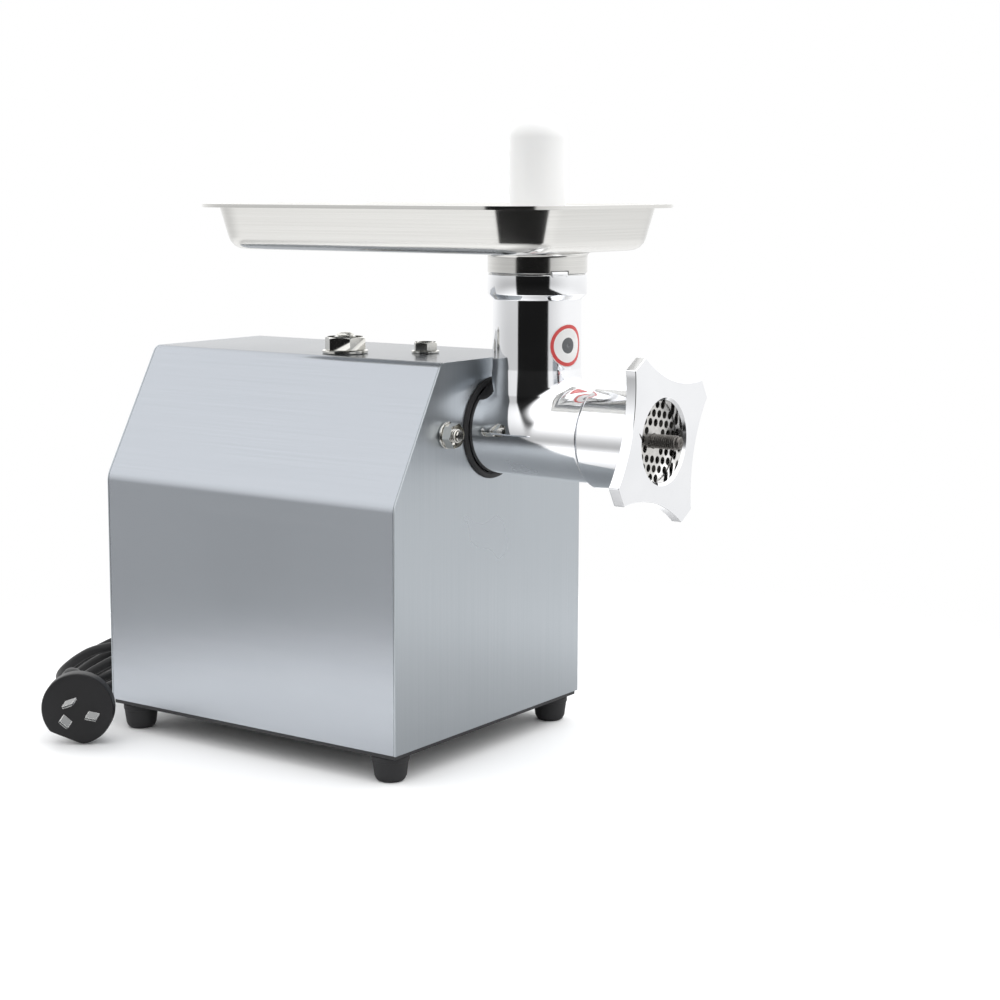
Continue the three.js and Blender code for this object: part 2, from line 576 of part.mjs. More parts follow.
function gearTrain() {
  const shaft = join(
    rodY(16.5, 7, 27.7, 28, 0, AXIS_Z),
    rodY(12, 27, 46, 24, 0, AXIS_Z),
    rodY(10, 45, 72.5, 24, 0, AXIS_Z),
  );
  const drive = block(-7.3, 7.3, 0, 24, AXIS_Z - 7.3, AXIS_Z + 7.3);
  part("output_shaft", cut(shaft, drive), toolSteel);
  const wheel = gear(STAGE2_GEAR, STAGE2_MODULE, true, 28, 43.5, AXIS_Z);
  part("output_gear", cut(wheel, rodY(12.3, 20, 50, 24, 0, AXIS_Z)), toolSteel);
  part("output_bearing_front", pipeY(27, 16.8, 9, 20, 18, 0, AXIS_Z), zincSteel);
  part("output_bearing_rear", pipeY(16, 10.3, 66.5, 73, 18, 0, AXIS_Z), zincSteel);

  const idler = join(
    rodY(8, 11.5, 72.5, 20, 0, IDLER_Z),
    gear(STAGE2_PINION, STAGE2_MODULE, false, 26.5, 45, IDLER_Z),
  );
  part("intermediate_shaft", idler, toolSteel);
  const idlerWheel = gear(STAGE1_GEAR, STAGE1_MODULE, true, 48, 60, IDLER_Z);
  part("intermediate_gear", cut(idlerWheel, rodY(8.3, 40, 65, 20, 0, IDLER_Z)), toolSteel);
}

// ---- motor ----
function motor() {
  const [shellFront, shellBack] = [CASE.y1 + 8 + 2 * GAP, 178];
  part("motor_shell", pipeY(MOTOR_R, 57, shellFront, shellBack, 32, 0, MOTOR_Z), blackPaint);
  const slots = [];
  for (let k = 0; k < 12; k += 1) {
    const slot = block(37, 47, 90, 165, -2.5, 2.5).rotate(0, 30 * k, 0);
    slots.push(slot.translate(0, 0, MOTOR_Z));
  }
  part("stator_core", cut(pipeY(56.4, 33.6, 98, 158, 32, 0, MOTOR_Z), ...slots), greyIron);
  part("rotor_core", pipeY(32.6, 8.3, 98, 158, 24, 0, MOTOR_Z), greyIron);
  const shaft = join(
    rodY(8, 46, 206, 20, 0, MOTOR_Z),
    gear(STAGE1_PINION, STAGE1_MODULE, false, 46.8, 61.2, MOTOR_Z),
  );
  part("motor_shaft", shaft, toolSteel);
  part("motor_bearing_front", pipeY(16, 8.3, 66.6, 73.6, 18, 0, MOTOR_Z), zincSteel);
  part("motor_bearing_rear", pipeY(16, 8.3, 178.6, 184, 18, 0, MOTOR_Z), zincSteel);
  const bell = cut(
    rodY(MOTOR_R, shellBack + GAP, 186.3, 32, 0, MOTOR_Z),
    rodY(16.3, 170, 184.3, 24, 0, MOTOR_Z),
    rodY(9, 170, 190, 20, 0, MOTOR_Z),
  );
  part("motor_end_bell", bell, greyIron);
  const blades = [];
  for (let k = 0; k < 8; k += 1) {
    blades.push(block(10, 48, 193, 203, -1, 1).rotate(0, 45 * k, 0).translate(0, 0, MOTOR_Z));
  }
  const hub = join(rodY(13, 190, 204, 14, 0, MOTOR_Z), rodY(44, 191, 193.5, 24, 0, MOTOR_Z), ...blades);
  part("cooling_fan", cut(hub, rodY(8.3, 180, 210, 12, 0, MOTOR_Z)), blackPlastic);

  const saddle = block(-40, 40, 112, 146, 21.5, 100);
  const window = block(-26, 26, 100, 160, 27, 60);
  part("motor_cradle", cut(saddle, window, rodY(MOTOR_R + GAP, 100, 160, 32, 0, MOTOR_Z)), blackPaint);
  part("run_capacitor", turnedZ([[0, 21.6], [17, 21.6], [17, 88], [15, 90], [0, 90]], 28, 84, 60), blackPlastic);
}

// ---- mains lead ----
// The lead leaves the gland, drops to the surface and runs to the coil that leans on the rear panel.
const LEAD_TO_COIL = [
  [30, 250.3, 60], [30, 258, 60], [30, 268, 57.5], [29.5, 278, 51.5], [28.5, 287, 42.5], [26.5, 294, 32],
  [23, 299, 21.5], [17.5, 302, 12.5], [9.5, 303, 6.6], [0, 302, 4.4], [-12, 299.2, 4.05], [-26, 295, 4.05],
  [-40.5, 292.3, 4.05],
];
// The free end leaves the coil's upper left side and bends down into the back of the plug.
const COIL_TO_PLUG = [
  [-121.9, 258.6, 36.6], [-124.7, 251.4, 39], [-127.2, 244, 39.4], [-129.9, 236.6, 37.1], [-133.2, 229.8, 33.2],
  [-137.3, 224.2, 29.6], [-142.4, 219.75, 27.5], [-148.2, 215.4, 27.2],
];

function leadTube(name, points) {
  const path = new THREE.CatmullRomCurve3(points.map((p) => new THREE.Vector3(...p)));
  const section = outline(Array.from({ length: 10 }, (_, k) => polar(CORD_D / 2, (k * Math.PI) / 5)));
  const steps = Math.round(path.getLength() / (CORD_D * 1.2));
  part(name, solid(new THREE.ExtrudeGeometry(section, { steps, extrudePath: path })), blackRubber);
}

function mainsLead() {
  const gland = turnedY([
    [0, BACK - 6], [6.6, BACK - 6], [6.6, BACK + GAP], [10.5, BACK + GAP], [10.5, BACK + 4], [8.4, BACK + 6],
    [5.2, BACK + 34], [0, BACK + 34],
  ], 24, GLAND.x, GLAND.z);
  part("cord_gland", gland, blackRubber);
  leadTube("cord_to_coil", LEAD_TO_COIL);

  const half = CORD_D / 2;
  const [inner, outer, level] = [COIL.radius - CORD_D / 2, COIL.radius + CORD_D / 2, CORD_D];
  const corners = [[outer, -level, -90], [outer, level, 0], [inner, level, 90], [inner, -level, 180]];
  const section = [];
  for (const [r, z, start] of corners) {
    for (let k = 0; k < 3; k += 1) {
      const [dr, dz] = polar(half, THREE.MathUtils.degToRad(start + 45 * k));
      section.push([r + dr, z + dz]);
    }
  }
  section.push(section[0]);
  const coil = turnedZ(section, 28).rotate(-COIL.tilt, 0, 0).translate(COIL.x, COIL.y, COIL.z);
  part("cord_coil", coil, blackRubber);
  leadTube("cord_to_plug", COIL_TO_PLUG);
}

// Three-blade plug standing on its edge; local Z points out of its face.
function plug() {
  const upright = new THREE.Group();
  upright.position.set(PLUG.x, PLUG.y, PLUG.z);
  upright.rotation.z = THREE.MathUtils.degToRad(PLUG.yaw);
  const frame = new THREE.Group();
  frame.rotation.x = Math.PI / 2;
  upright.add(frame);
  grinder.add(upright);
  const disc = turnedZ([
    [0, -27], [9, -27], [19, -24], [24, -12.5], [27, -12], [27, -1], [26, 0], [0, 0],
  ], 32);
  const flat = block(-40, 40, -40, -23.4, -30, 1).rotate(0, 0, -22);
  part("plug_body", cut(disc, flat), blackRubber, frame);
  const blades = { active: [-4.2, 7, 18], neutral: [-7.4, -7.2, 138], earth: [12.6, -3, -12] };
  for (const [name, [x, y, angle]] of Object.entries(blades)) {
    const blade = block(-4.1, 4.1, -0.9, 0.9, GAP, 18).rotate(0, 0, angle).translate(x, y, 0);
    part(`plug_pin_${name}`, blade, zincSteel, frame);
  }
}

basePlate();
housingCover();
frontPanel();
rearPanel();
topHardware();
frontStuds();
controls();
gearbox();
gearTrain();
motor();
headBarrel();
auger();
crossKnife();
cuttingPlate();
ringNut();
tray();
plunger();
mainsLead();
plug();

export default grinder;
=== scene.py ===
from math import atan2, cos, hypot, pi, radians, sin, sqrt

import bpy
import numpy as np
from mathutils import Matrix, Vector
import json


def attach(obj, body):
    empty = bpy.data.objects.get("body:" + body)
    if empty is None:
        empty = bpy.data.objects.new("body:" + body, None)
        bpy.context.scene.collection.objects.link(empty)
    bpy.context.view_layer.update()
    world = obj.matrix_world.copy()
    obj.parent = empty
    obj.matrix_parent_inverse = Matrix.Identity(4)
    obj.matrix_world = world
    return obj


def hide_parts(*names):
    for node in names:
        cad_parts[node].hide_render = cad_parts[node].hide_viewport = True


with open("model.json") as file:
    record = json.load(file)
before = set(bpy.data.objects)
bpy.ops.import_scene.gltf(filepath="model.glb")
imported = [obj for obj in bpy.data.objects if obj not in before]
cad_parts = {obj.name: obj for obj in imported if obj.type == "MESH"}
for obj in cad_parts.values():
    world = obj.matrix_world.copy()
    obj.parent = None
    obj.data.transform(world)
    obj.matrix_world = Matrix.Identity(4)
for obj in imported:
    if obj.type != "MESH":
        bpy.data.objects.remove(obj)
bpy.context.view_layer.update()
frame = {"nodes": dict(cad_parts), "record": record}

# ---- camera ----
# A long lens on a tripod, standing off the machine's front left corner a little above the tray's level.
bpy.ops.object.camera_add(location=(-1.2004, -0.8974, 0.4163), rotation=(radians(82.42), 0, radians(-53.99)))
camera = bpy.context.object
camera.data.lens = 73.16
camera.data.sensor_width = 36
camera.data.shift_x = 0.0462
camera.data.shift_y = -0.0462
bpy.context.scene.camera = camera

# ---- mains cord ----
# A 7.5 mm black flexible cord. It leaves the gland low on the back, lies on the bench in a coil that leans
# on the rear panel, and ends in the plug, which stands on its rim behind the rear left corner.
CORD_THICK = 0.0075
lead_route = [
    (30, 250.3, 60), (30, 258, 60), (30, 268, 57.5), (29.5, 278, 51.5), (28.5, 287, 42.5), (26.5, 294, 32),
    (23, 299, 21.5), (17.5, 302, 12.5), (9.5, 303, 6.6), (0, 302, 4.4), (-12, 299.2, 4.05), (-26, 295, 4.05),
    (-40.5, 292.3, 4.05),
]
plug_route = [
    (-121.9, 258.6, 36.6), (-124.7, 251.4, 39), (-127.2, 244, 39.4), (-129.9, 236.6, 37.1),
    (-133.2, 229.8, 33.2), (-137.3, 224.2, 29.6), (-142.4, 219.75, 27.5), (-148.2, 215.4, 27.2),
]
COIL_CENTRE = Vector((-0.070, 0.2605, 0.0353))
COIL_TILT = radians(35)
# Where each turn lies in the coil's section: its radius and its height above the coil's middle plane.
turn_places = [(43.75, -7.5), (36.25, -7.5), (36.25, 0), (36.25, 7.5), (43.75, 7.5), (43.75, 0)]
TURN_STEP = 15
CROSSING = 50


def on_coil(angle, radius, height):
    """A point of the leaning coil: angle round it from its lowest point, both lengths in millimetres."""
    flat = Vector((cos(angle) * radius, sin(angle) * radius, height)) / 1000
    return COIL_CENTRE + Matrix.Rotation(-COIL_TILT, 3, "X") @ flat


coil_route = []
for step in range(1, (5 * 360 + 45) // TURN_STEP + 1):
    turn, along = divmod(step * TURN_STEP, 360)
    radius, height = turn_places[turn]
    crossing_start = 310 - CROSSING * turn
    if turn < 5 and along > crossing_start:
        share = min(1, (along - crossing_start) / CROSSING)
        share = share * share * (3 - 2 * share)
        radius += (turn_places[turn + 1][0] - radius) * share
        height += (turn_places[turn + 1][1] - height) * share
    coil_route.append(on_coil(radians(90 + along), radius, height))
cord_route = [Vector(p) / 1000 for p in lead_route] + coil_route + [Vector(p) / 1000 for p in plug_route]

cord_curve = bpy.data.curves.new("mains_cord", "CURVE")
cord_curve.dimensions = "3D"
cord_line = cord_curve.splines.new("BEZIER")
cord_line.bezier_points.add(len(cord_route) - 1)
for knot, place in zip(cord_line.bezier_points, cord_route):
    knot.co = place
    knot.handle_left_type = "AUTO"
    knot.handle_right_type = "AUTO"
cord_curve.resolution_u = 4
mains_cord = bpy.data.objects.new("mains_cord", cord_curve)
bpy.context.collection.objects.link(mains_cord)
bpy.context.view_layer.update()
bare_line = mains_cord.to_mesh()
mains_cord.to_mesh_clear()
cord_curve.bevel_depth = CORD_THICK / 2
cord_curve.bevel_resolution = 5
bpy.ops.object.select_all(action="DESELECT")
mains_cord.select_set(True)
bpy.context.view_layer.objects.active = mains_cord
bpy.ops.object.convert(target="MESH")
mains_cord = bpy.context.object
bpy.ops.object.shade_smooth()

# ---- studio ----
# A pale bench that fades out into a white room, one broad soft light overhead, and a dark strip behind the
# camera that only polished metal shows.
bpy.context.scene.view_settings.view_transform = "Standard"
bpy.ops.object.select_all(action="DESELECT")
bpy.ops.mesh.primitive_circle_add(vertices=96, radius=1.5, fill_type="NGON", location=(0, 0, -0.0004))
bench = bpy.context.object
bench.name = "bench"
bench_finish = bpy.data.materials.new("bench_white")
bench_finish.use_nodes = True
bench_nodes, bench_links = bench_finish.node_tree.nodes, bench_finish.node_tree.links
bench_shader = bench_nodes["Principled BSDF"]
bench_shader.inputs["Base Color"].default_value = (0.93, 0.935, 0.94, 1)
bench_shader.inputs["Roughness"].default_value = 0.8
bench_shader.inputs["Specular IOR Level"].default_value = 0.2
bench_place = bench_nodes.new("ShaderNodeTexCoord")
bench_reach = bench_nodes.new("ShaderNodeVectorMath")
bench_reach.operation = "LENGTH"
bench_fade = bench_nodes.new("ShaderNodeMapRange")
bench_fade.interpolation_type = "SMOOTHSTEP"
bench_fade.inputs["From Min"].default_value = 0.33
bench_fade.inputs["From Max"].default_value = 0.66
bench_fade.inputs["To Min"].default_value = 1
bench_fade.inputs["To Max"].default_value = 0
bench_links.new(bench_place.outputs["Object"], bench_reach.inputs[0])
bench_links.new(bench_reach.outputs["Value"], bench_fade.inputs["Value"])
bench_links.new(bench_fade.outputs["Result"], bench_shader.inputs["Alpha"])
# Painted shade: seen in reflections only, the bench's colour darkens towards a point under the grinding head, so
# polished metal mirrors a shaded bench there.
bench_away = bench_nodes.new("ShaderNodeVectorMath")
bench_away.operation = "DISTANCE"
bench_away.inputs[1].default_value = (0.05, -0.22, 0)
bench_links.new(bench_place.outputs["Object"], bench_away.inputs[0])
bench_painted_shade = bench_nodes.new("ShaderNodeMapRange")
bench_painted_shade.interpolation_type = "SMOOTHSTEP"
bench_painted_shade.inputs["From Min"].default_value = 0.14
bench_painted_shade.inputs["From Max"].default_value = 0.42
bench_painted_shade.inputs["To Min"].default_value = 0.46
bench_painted_shade.inputs["To Max"].default_value = 0.97
bench_links.new(bench_away.outputs["Value"], bench_painted_shade.inputs["Value"])
bench_glossy_shade_mix = bench_nodes.new("ShaderNodeMix")
bench_glossy_shade_mix.data_type = "RGBA"
bench_glossy_shade_mix.inputs["A"].default_value = (0.93, 0.935, 0.94, 1)
# Glossy rays see the painted shade; all other rays see the plain white bench.
bench_links.new(bench_nodes.new("ShaderNodeLightPath").outputs["Is Glossy Ray"], bench_glossy_shade_mix.inputs["Factor"])
bench_links.new(bench_painted_shade.outputs["Result"], bench_glossy_shade_mix.inputs["B"])
bench_links.new(bench_glossy_shade_mix.outputs["Result"], bench_shader.inputs["Base Color"])
bench.data.materials.append(bench_finish)

room = bpy.data.worlds.new("white_room")
room.use_nodes = True
bpy.context.scene.world = room
room_nodes, room_links = room.node_tree.nodes, room.node_tree.links
room_light = room_nodes["Background"]


def room_node(kind, operation=None, *inputs):
    """Adds a node to the room's light and feeds its inputs in order with numbers or other nodes' outputs."""
    node = room_nodes.new(kind)
    if operation:
        node.operation = operation
    for socket, value in zip(node.inputs, inputs):
        if isinstance(value, bpy.types.NodeSocket):
            room_links.new(value, socket)
        else:
            socket.default_value = value
    return node


def smooth_step(value, start, end, low, high):
    node = room_node("ShaderNodeMapRange", None, value, start, end, low, high)
    node.interpolation_type = "SMOOTHSTEP"
    return node.outputs["Result"]


room_way = room_nodes.new("ShaderNodeTexCoord").outputs["Generated"]
room_axes = room_node("ShaderNodeSeparateXYZ", None, room_way).outputs
room_round = room_node("ShaderNodeMath", "ARCTAN2", room_axes["Y"], room_axes["X"]).outputs[0]
# The dark strip spans from a right angle's half left of the camera to a little right of it, up to the soft box.
strip_start = smooth_step(room_round, radians(-199 + 360), radians(-195 + 360), 0, 1)
strip_spread = smooth_step(room_axes["Z"], -0.45, -0.3, radians(48), 0)
strip_edge = room_node("ShaderNodeMath", "SUBTRACT", room_round, strip_spread).outputs[0]
strip_end = smooth_step(strip_edge, radians(-121), radians(-114), 1, 0)
strip_wrap = room_node("ShaderNodeMath", "LESS_THAN", room_round, 0.0).outputs[0]
strip_left = room_node("ShaderNodeMath", "MULTIPLY", strip_end, strip_wrap).outputs[0]
strip_sides = room_node("ShaderNodeMath", "MAXIMUM", strip_start, strip_left).outputs[0]
strip_top = smooth_step(room_axes["Z"], 0.15, 0.42, 1, 0)
strip = room_node("ShaderNodeMath", "MULTIPLY", strip_sides, strip_top).outputs[0]
side_glow = smooth_step(room_axes["X"], -0.8, 0.5, 0.54, 0.96)
height_glow = smooth_step(room_axes["Z"], -0.22, 0.4, side_glow, 1.5)
height_glow = smooth_step(room_axes["Z"], -0.45, -0.2, 1.2, height_glow)
height_glow = smooth_step(room_axes["Z"], -0.72, -0.52, 0.5, height_glow)
height_glow = room_node("ShaderNodeMath", "MULTIPLY", height_glow, smooth_step(strip, 0, 1, 1, 0.015)).outputs[0]
seen = room_nodes.new("ShaderNodeLightPath").outputs["Is Camera Ray"]
glow = room_nodes.new("ShaderNodeMix")
glow.data_type = "FLOAT"
room_links.new(seen, glow.inputs["Factor"])
room_links.new(height_glow, glow.inputs["A"])
glow.inputs["B"].default_value = 1.0
room_links.new(glow.outputs["Result"], room_light.inputs["Strength"])
room_light.inputs["Color"].default_value = (1, 1, 1, 1)

bpy.ops.object.light_add(type="AREA", location=(0.35, -0.55, 1.9), rotation=(radians(18), radians(10), 0))
soft_box = bpy.context.object
soft_box.name = "soft_box"
soft_box.data.shape = "RECTANGLE"
soft_box.data.size = 1.8
soft_box.data.size_y = 1.4
soft_box.data.energy = 10

# ---- housing cover ----
# One sheet of 1.2 mm stainless steel, bent four times over the machine from skirt to skirt, with openings
# for the oil filler, the head's lock bolt, the switch and the overload reset.
SHEET = 0.0012
FRONT, BACK = -0.060, 0.216
HALF_WIDTH, HALF_TOP = 0.117, 0.0624
SKIRT, SHOULDER, TOP = 0.022, 0.1966, 0.292
COVER_Y = (FRONT + SHEET + 0.0003, BACK - SHEET - 0.0003)
BEND_RADIUS = 0.0042
SLOPE_OUT = Matrix.Translation(((HALF_WIDTH + HALF_TOP) / 2, 0, (TOP + SHOULDER) / 2)) @ Matrix.Rotation(
    atan2(TOP - SHOULDER, HALF_WIDTH - HALF_TOP), 4, "Y"
)


def begin(name):
    """Names the primitive just added and opens it for shaping."""
    piece = bpy.context.object
    piece.name = name
    piece.data.name = name
    bpy.ops.object.mode_set(mode="EDIT")
    return piece


def close():
    """Leaves edit mode and fixes the piece's place in its mesh."""
    bpy.ops.object.mode_set(mode="OBJECT")
    bpy.ops.object.transform_apply(location=True, rotation=True, scale=True)


def choose(piece, kind, wanted):
    """Selects only those vertices, edges or faces whose middle, or whose normal too, the test accepts."""
    bpy.ops.mesh.select_mode(type=kind)
    bpy.ops.mesh.select_all(action="DESELECT")
    bpy.ops.object.mode_set(mode="OBJECT")
    mesh = piece.data
    if kind == "VERT":
        for vertex in mesh.vertices:
            vertex.select = bool(wanted(vertex.co))
    elif kind == "EDGE":
        for edge in mesh.edges:
            a, b = (mesh.vertices[i].co for i in edge.vertices)
            edge.select = bool(wanted((a + b) / 2, (b - a).normalized()))
    else:
        for face in mesh.polygons:
            face.select = bool(wanted(face.center, face.normal))
    bpy.ops.object.mode_set(mode="EDIT")


def alone(piece):
    bpy.ops.object.select_all(action="DESELECT")
    piece.select_set(True)
    bpy.context.view_layer.objects.active = piece


def modify(piece, kind, **settings):
    """Adds a modifier with these settings and applies it."""
    alone(piece)
    bpy.ops.object.modifier_add(type=kind)
    modifier = piece.modifiers[-1]
    for name, value in settings.items():
        setattr(modifier, name, value)
    bpy.ops.object.modifier_apply(modifier=modifier.name)


def cut_away(piece, *tools):
    """Cuts the closed tool pieces out of the piece."""
    for tool in tools:
        modify(piece, "BOOLEAN", operation="DIFFERENCE", object=tool, solver="EXACT")
        bpy.data.objects.remove(tool)


def soften(piece, width, segments=2, angle=30):
    """Breaks every sharp edge with a small bevel and smooths the rest."""
    modify(
        piece, "BEVEL", width=width, segments=segments, limit_method="ANGLE", angle_limit=radians(angle),
        harden_normals=False, use_clamp_overlap=True,
    )
    smooth(piece)


def smooth(piece, angle=35):
    """Smooths the round walls only: flat faces keep their own direction up to their edges."""
    alone(piece)
    bpy.ops.object.shade_smooth_by_angle(angle=radians(angle))
    modify(piece, "WEIGHTED_NORMAL", mode="FACE_AREA", weight=80, keep_sharp=True)


def clean(piece, inside=False):
    """Merges doubles and turns the faces outwards."""
    alone(piece)
    bpy.ops.object.mode_set(mode="EDIT")
    bpy.ops.mesh.select_all(action="SELECT")
    bpy.ops.mesh.remove_doubles(threshold=1e-6)
    bpy.ops.mesh.normals_make_consistent(inside=inside)
    bpy.ops.object.mode_set(mode="OBJECT")


def turned(name, profile, sides=72, axis="Z", centre=(0, 0, 0), frame_of=None):
    """Turns a profile of (radius, height) in millimetres round an upright or a lengthways axis.
    The height is the real place along that axis, and the first and last radius may be 0."""
    points = [(r / 1000, h / 1000) for r, h in profile]
    small = 1e-5
    bpy.ops.object.select_all(action="DESELECT")
    bpy.ops.mesh.primitive_circle_add(
        vertices=sides, radius=max(points[0][0], small), fill_type="NOTHING", location=(0, 0, points[0][1])
    )
    piece = begin(name)
    bpy.ops.mesh.select_all(action="SELECT")
    base = points[0][1]
    for (r0, h0), (r1, h1) in zip(points, points[1:]):
        bpy.ops.mesh.extrude_region_move(TRANSFORM_OT_translate={"value": (0, 0, h1 - h0)})
        grow = max(r1, small) / max(r0, small)
        if abs(grow - 1) > 1e-9:
            bpy.ops.transform.resize(value=(grow, grow, 1), center_override=(0, 0, h1))
    bpy.ops.mesh.select_all(action="SELECT")
    bpy.ops.mesh.remove_doubles(threshold=3e-6)
    bpy.ops.mesh.normals_make_consistent(inside=False)
    close()
    turn = Matrix.Rotation(radians(-90), 4, "X") if axis == "Y" else Matrix.Identity(4)
    piece.data.transform(frame_of or Matrix.Translation(Vector(centre) / 1000) @ turn)
    smooth(piece)
    return piece


def block(name, low, high, place=None):
    """A box between two corners in millimetres, turned into place by a matrix."""
    low, high = Vector(low) / 1000, Vector(high) / 1000
    bpy.ops.object.select_all(action="DESELECT")
    bpy.ops.mesh.primitive_cube_add(size=1, location=(low + high) / 2, scale=high - low)
    piece = begin(name)
    close()
    if place is not None:
        piece.data.transform(place)
    return piece


def joined(first, *others):
    """Makes one object of several closed pieces of the same part."""
    alone(first)
    for other in others:
        other.select_set(True)
    bpy.ops.object.join()
    return first


def fit(piece, body, finish, slot, *nodes):
    """Gives a finished piece its material, its moving body and the CAD nodes it stands for."""
    piece.data.materials.clear()
    piece.data.materials.append(finish)
    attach(piece, body)
    if nodes:
        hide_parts(*nodes)
    return piece


def surface_marks():
    """Node group: directional grain, soft blotches and fine specks, all fixed to the piece."""
    group = bpy.data.node_groups.new("surface_marks", "ShaderNodeTree")
    face = group.interface
    face.new_socket("Grain Scale", in_out="INPUT", socket_type="NodeSocketVector")
    face.new_socket("Blotch Scale", in_out="INPUT", socket_type="NodeSocketFloat")
    face.new_socket("Speck Scale", in_out="INPUT", socket_type="NodeSocketFloat")
    for output in ("Grain", "Blotch", "Speck"):
        face.new_socket(output, in_out="OUTPUT", socket_type="NodeSocketFloat")
    nodes, links = group.nodes, group.links
    given, given_back = nodes.new("NodeGroupInput"), nodes.new("NodeGroupOutput")
    place = nodes.new("ShaderNodeTexCoord").outputs["Object"]
    stretch = nodes.new("ShaderNodeVectorMath")
    stretch.operation = "MULTIPLY"
    links.new(place, stretch.inputs[0])
    links.new(given.outputs["Grain Scale"], stretch.inputs[1])
    sources = {"Grain": stretch.outputs[0], "Blotch": place, "Speck": place}
    details = {"Grain": 5, "Blotch": 3, "Speck": 2}
    for output, source in sources.items():
        noise = nodes.new("ShaderNodeTexNoise")
        noise.inputs["Detail"].default_value = details[output]
        noise.inputs["Scale"].default_value = 1
        links.new(source, noise.inputs["Vector"])
        if output != "Grain":
            links.new(given.outputs[f"{output} Scale"], noise.inputs["Scale"])
        links.new(noise.outputs["Fac"], given_back.inputs[output])
    return group


SURFACE_MARKS = surface_marks()


def worn_and_glinting_edges():
    """Node group: a mask that is 1 on sharp outer edges, broken up by noise as rubbing leaves it; with little break up
    it paints a highlight along the edges.
    """
    group = bpy.data.node_groups.new("worn_and_glinting_edges", "ShaderNodeTree")
    face = group.interface
    face.new_socket("Width", in_out="INPUT", socket_type="NodeSocketFloat")
    face.new_socket("Break Up", in_out="INPUT", socket_type="NodeSocketFloat")
    face.new_socket("Wear And Glint", in_out="OUTPUT", socket_type="NodeSocketFloat")
    nodes, links = group.nodes, group.links
    given, given_back = nodes.new("NodeGroupInput"), nodes.new("NodeGroupOutput")
    rounded = nodes.new("ShaderNodeBevel")
    rounded.samples = 4
    links.new(given.outputs["Width"], rounded.inputs["Radius"])
    flat = nodes.new("ShaderNodeNewGeometry")
    compare = nodes.new("ShaderNodeVectorMath")
    compare.operation = "DOT_PRODUCT"
    links.new(rounded.outputs["Normal"], compare.inputs[0])
    links.new(flat.outputs["Normal"], compare.inputs[1])
    edge = nodes.new("ShaderNodeMapRange")
    edge.inputs["From Min"].default_value = 0.98
    edge.inputs["From Max"].default_value = 0.8
    links.new(compare.outputs["Value"], edge.inputs["Value"])
    place = nodes.new("ShaderNodeTexCoord").outputs["Object"]
    noise = nodes.new("ShaderNodeTexNoise")
    noise.inputs["Scale"].default_value = 320
    links.new(place, noise.inputs["Vector"])
    broken = nodes.new("ShaderNodeMath")
    broken.operation = "GREATER_THAN"
    links.new(noise.outputs["Fac"], broken.inputs[0])
    links.new(given.outputs["Break Up"], broken.inputs[1])
    both = nodes.new("ShaderNodeMath")
    both.operation = "MULTIPLY"
    links.new(edge.outputs["Result"], both.inputs[0])
    links.new(broken.outputs[0], both.inputs[1])
    links.new(both.outputs[0], given_back.inputs["Wear And Glint"])
    return group


WORN_AND_GLINTING_EDGES = worn_and_glinting_edges()


def finish_of(name, dark, light, rough, metallic=1.0, grain=(60, 60, 60), grain_depth=0.0, blotch=14, speck=900,
              speck_depth=0.0, tone="Blotch", wear_and_glint=None, specular=0.5, coat=0.0, coat_rough=0.1, rim=1.0):
    """A procedural finish: two tones mixed by a mark, a roughness range, and grain and specks as relief.
    Depths are in millimetres; wear_and_glint is (width in mm, break up, edge colour): a colour on sharp edges, rubbed
    wear where broken up, a painted highlight where nearly unbroken; rim dulls the metal's grazing glare."""
    finish = bpy.data.materials.new(name)
    finish.use_nodes = True
    nodes, links = finish.node_tree.nodes, finish.node_tree.links
    shader = nodes["Principled BSDF"]
    shader.inputs["Metallic"].default_value = metallic
    shader.inputs["Specular IOR Level"].default_value = specular
    shader.inputs["Specular Tint"].default_value = (rim, rim, rim, 1)
    shader.inputs["Coat Weight"].default_value = coat
    shader.inputs["Coat Roughness"].default_value = coat_rough
    marks = nodes.new("ShaderNodeGroup")
    marks.node_tree = SURFACE_MARKS
    marks.inputs["Grain Scale"].default_value = grain
    marks.inputs["Blotch Scale"].default_value = blotch
    marks.inputs["Speck Scale"].default_value = speck
    tones = nodes.new("ShaderNodeMix")
    tones.data_type = "RGBA"
    tones.inputs["A"].default_value = (*dark, 1)
    tones.inputs["B"].default_value = (*light, 1)
    links.new(marks.outputs[tone], tones.inputs["Factor"])
    colour = tones.outputs["Result"]
    gloss = nodes.new("ShaderNodeMapRange")
    gloss.inputs["From Min"].default_value = 0.3
    gloss.inputs["From Max"].default_value = 0.7
    gloss.inputs["To Min"].default_value = rough[0]
    gloss.inputs["To Max"].default_value = rough[1]
    links.new(marks.outputs["Blotch"], gloss.inputs["Value"])
    # Edge colour: real wear on most finishes, a painted highlight on the plug blades.
    if wear_and_glint:
        edges = nodes.new("ShaderNodeGroup")
        edges.node_tree = WORN_AND_GLINTING_EDGES
        edges.inputs["Width"].default_value = wear_and_glint[0] / 1000
        edges.inputs["Break Up"].default_value = wear_and_glint[1]
        edge_toned = nodes.new("ShaderNodeMix")
        edge_toned.data_type = "RGBA"
        edge_toned.inputs["B"].default_value = (*wear_and_glint[2], 1)
        links.new(edges.outputs["Wear And Glint"], edge_toned.inputs["Factor"])
        links.new(colour, edge_toned.inputs["A"])
        colour = edge_toned.outputs["Result"]
    links.new(colour, shader.inputs["Base Color"])
    links.new(gloss.outputs["Result"], shader.inputs["Roughness"])
    relief = None
    for mark, depth in (("Grain", grain_depth), ("Speck", speck_depth)):
        if depth:
            bump = nodes.new("ShaderNodeBump")
            bump.inputs["Distance"].default_value = depth / 1000
            links.new(marks.outputs[mark], bump.inputs["Height"])
            if relief:
                links.new(relief, bump.inputs["Normal"])
            relief = bump.outputs["Normal"]
    if relief:
        links.new(relief, shader.inputs["Normal"])
    return finish


